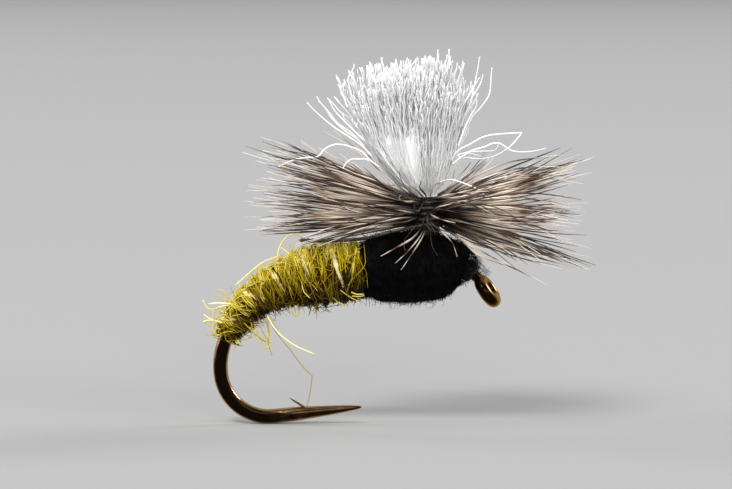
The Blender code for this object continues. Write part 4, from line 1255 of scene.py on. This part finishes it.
def make_windings(thread):
    """The thread round the post's foot and behind the eye, turn by turn."""
    path = helix(*post_axis(), POST_WRAP_RADIUS, POST_WRAP_PITCH)
    wraps = strands("post_wraps", path[None], THREAD_RADIUS, [0.5], thread, 6)
    placed(wraps, "post_thread_wraps", slot="tying_thread")

    distance = np.linspace(*HEAD_WRAP_RANGE, 260)
    share = (distance - distance[0]) / (distance[-1] - distance[0])
    swell = 0.28 * MM + 0.10 * MM * np.sin(math.pi * np.clip(share * 0.8 + 0.1, 0, 1))
    head = round_shank(distance, TAU * HEAD_WRAP_TURNS * share, swell)
    wraps = strands("head_wraps", head[None], THREAD_RADIUS, [0.5], thread, 6)
    placed(wraps, "head_thread_wraps", slot="tying_thread")


# The bare end of the quill, behind the thorax, and the coil that it runs into round the post.
QUILL_BUTT = (
    (-6.80 * MM, -0.36 * MM, 1.86 * MM),
    (-5.60 * MM, -0.38 * MM, 1.86 * MM),
    (-4.40 * MM, -0.42 * MM, 1.95 * MM),
    (-3.40 * MM, -0.50 * MM, 2.20 * MM),
    (-2.75 * MM, -0.56 * MM, 2.36 * MM),
)
COIL_RADIUS = 0.56 * MM
COIL_BOTTOM = 2.45 * MM
COIL_PITCH = 0.20 * MM
COIL_TURNS = 4.5
STEM_RADIUS = 0.068 * MM
STUBS = 90


def make_quill(material):
    """The feather's stem: bare and cut square at its thick end, wound round the post at its thin end."""
    x, _, _ = post_axis()
    turns = np.linspace(0.0, COIL_TURNS, 150)
    angle = TAU * turns - math.pi / 2
    coil = np.stack([
        x + COIL_RADIUS * np.cos(angle),
        COIL_RADIUS * np.sin(angle),
        COIL_BOTTOM + COIL_PITCH * turns,
    ], -1)
    butt = resampled(np.array(QUILL_BUTT + (tuple(coil[0]),)), 60)
    path = np.concatenate([butt[:-1], coil])
    radii = STEM_RADIUS * (1.0 - 0.40 * np.linspace(0.0, 1.0, len(path)))
    stem = strands("quill_stem", path[None], radii[None], [0.5], material, 10, 0.85)
    placed(stem, "hackle_quill", slot="feather_quill")
    make_stubs(butt, material)


def make_stubs(butt, material):
    """The short stubs of the barbs stripped from the bare end of the quill."""
    rng = np.random.default_rng(37)
    t = np.linspace(0.0, 1.0, 6)
    root = butt[rng.integers(1, 44, STUBS)]
    side = np.where(rng.uniform(0, 1, STUBS) < 0.5, 1.0, -1.0)
    reach = rng.uniform(0.08, 0.42, STUBS) * MM
    out = np.stack([
        -rng.uniform(0.3, 1.0, STUBS) * reach,
        side * rng.uniform(0.3, 1.0, STUBS) * reach,
        rng.uniform(-0.2, 0.5, STUBS) * reach,
    ], -1)
    paths = root[:, None] + out[:, None] * t[None, :, None]
    radii = rng.uniform(0.010, 0.018, STUBS)[:, None] * MM * (1 - 0.5 * t)
    stubs = strands("quill_stubs", paths, radii, rng.uniform(0, 1, STUBS), material, 4)
    placed(stubs, slot="feather_quill")


CURLS = 60


def make_fluff(material):
    """Fine grey curls behind the eye."""
    low, high = (np.array(corner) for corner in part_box("head_fluff"))
    rng = np.random.default_rng(41)
    count = CURLS
    t = np.linspace(0.0, 1.0, 16)
    centre = (low + high) / 2
    root = centre + rng.uniform(-1, 1, (count, 1)) * np.array([0.22, 0, -0.24]) * MM
    root = root + rng.normal(0, 0.04 * MM, (count, 3)) - np.array([0.05, 0, 0.05]) * MM
    heading = unit(rng.normal(0, 1, (count, 3)) + np.array([0.6, -0.1, 0.4]))
    side = unit(np.cross(heading, rng.normal(0, 1, (count, 3))))
    up = np.cross(heading, side)
    length = rng.uniform(0.10, 0.30, count) * MM
    curl = rng.uniform(0.03, 0.08, count) * MM
    angle = TAU * rng.uniform(0.6, 1.7, count)[:, None] * t
    paths = (
        root[:, None]
        + heading[:, None] * (length[:, None] * t)[..., None]
        + side[:, None] * (curl[:, None] * np.sin(angle))[..., None]
        + up[:, None] * (curl[:, None] * (1 - np.cos(angle)))[..., None]
    )
    radii = rng.uniform(0.007, 0.012, count)[:, None] * MM * (1 - 0.4 * t)
    fluff = strands("fluff_curls", paths, radii, rng.uniform(0, 1, count), material, 3)
    placed(fluff, "head_fluff", slot="grey_fluff")


# ---------------------------------------------------------------- stage


FLOOR_SIZE = 40.0
FLOOR_GREY = (0.315, 0.315, 0.313, 1.0)
WORLD_WHITE = (0.98, 0.99, 1.0, 1.0)
WORLD_STRENGTH = 0.56
LIGHT_DISTANCE = 2.5
# Soft lights: (name, azimuth, elevation, size in metres, irradiance). Azimuth 0 is -Y, and 90 is the eye's.
LIGHTS = (
    ("key", -26.0, 48.0, 0.9, 2.6),
    ("front", 8.0, 22.0, 1.0, 1.1),
    ("fill", 46.0, 28.0, 1.2, 0.7),
    ("side", -92.0, 20.0, 1.3, 1.4),
    ("rim_left", -125.0, 24.0, 0.8, 0.9),
    ("rim_right", 118.0, 30.0, 0.8, 1.2),
)
LENS = 200.0
SENSOR = 36.0
VIEW_WIDTH = 26.62 * MM
VIEW_ELEVATION = math.radians(4.0)
VIEW_TARGET = Vector((-4.42 * MM, 0.0, 1.69 * MM))


def make_floor():
    """A pale, dull floor under the bend."""
    bpy.ops.mesh.primitive_plane_add(size=FLOOR_SIZE, location=(0, 0, CAD_BOX[0].z))
    floor = bpy.context.object
    floor.name = "floor"
    shader = Shader("pale_floor", Base_Color=FLOOR_GREY, Roughness=0.9, Specular_IOR_Level=0.0)
    floor.data.materials.append(shader.material)


def make_world():
    """A world of even, nearly white light."""
    world = bpy.data.worlds.new("studio")
    bpy.context.scene.world = world
    world.use_nodes = True
    background = world.node_tree.nodes["Background"]
    background.inputs["Color"].default_value = WORLD_WHITE
    background.inputs["Strength"].default_value = WORLD_STRENGTH


def softbox(name, azimuth, elevation, size, irradiance):
    """A disk of light that faces the fly from far outside every view."""
    a, e = math.radians(azimuth), math.radians(elevation)
    away = Vector((math.sin(a) * math.cos(e), -math.cos(a) * math.cos(e), math.sin(e)))
    light = bpy.data.lights.new(name, "AREA")
    light.shape = "DISK"
    light.size = size
    light.energy = irradiance * math.pi * LIGHT_DISTANCE**2
    obj = bpy.data.objects.new(name, light)
    obj.location = (CAD_BOX[0] + CAD_BOX[1]) / 2 + away * LIGHT_DISTANCE
    obj.rotation_euler = (-away).to_track_quat("-Z", "Y").to_euler()
    obj.visible_camera = False
    bpy.context.scene.collection.objects.link(obj)


def make_stage():
    """The floor, the world and the soft lights, with plain display colours."""
    bpy.context.scene.view_settings.view_transform = "Standard"
    make_floor()
    make_world()
    for light in LIGHTS:
        softbox(*light)


def make_camera():
    """A long macro lens, nearly level with the fly."""
    camera = bpy.data.cameras.new("camera")
    camera.lens = LENS
    camera.sensor_width = SENSOR
    camera.clip_start = 0.001
    camera.clip_end = 30.0
    obj = bpy.data.objects.new("camera", camera)
    back = Vector((0.0, -math.cos(VIEW_ELEVATION), math.sin(VIEW_ELEVATION)))
    obj.location = VIEW_TARGET + back * (VIEW_WIDTH * LENS / SENSOR)
    obj.rotation_euler = (-back).to_track_quat("-Z", "Y").to_euler()
    bpy.context.scene.collection.objects.link(obj)
    bpy.context.scene.camera = obj


def finish_hidden_thread(thread):
    """The windings under the dubbing keep their CAD meshes."""
    for node in ("thread_underbody", "front_tie_wraps", "rear_tie_wraps"):
        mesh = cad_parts[node].data
        mesh.materials.clear()
        mesh.materials.append(thread)


def main():
    """The camera, the stage and the fly, piece by piece."""
    make_camera()
    make_stage()
    thread = thread_material()
    olive = olive_fur_material()
    white = yarn_material()
    barred = barb_material()
    make_hook(bronze_material())
    make_abdomen(olive, underfur_material())
    make_strays("abdomen_loose_fibres", BODY_STRAYS, 18, olive, "olive_dubbing")
    make_kinked_stray(olive)
    make_rib(rib_material())
    make_thorax(black_fur_material())
    make_post(white)
    make_strays("post_loose_filaments", POST_STRAYS, 44, white, "white_yarn", 6, 0.8)
    make_windings(thread)
    make_quill(quill_material())
    make_hackle(barred)
    make_loose_barbs(barred)
    make_fluff(fluff_material())
    finish_hidden_thread(thread)


main()
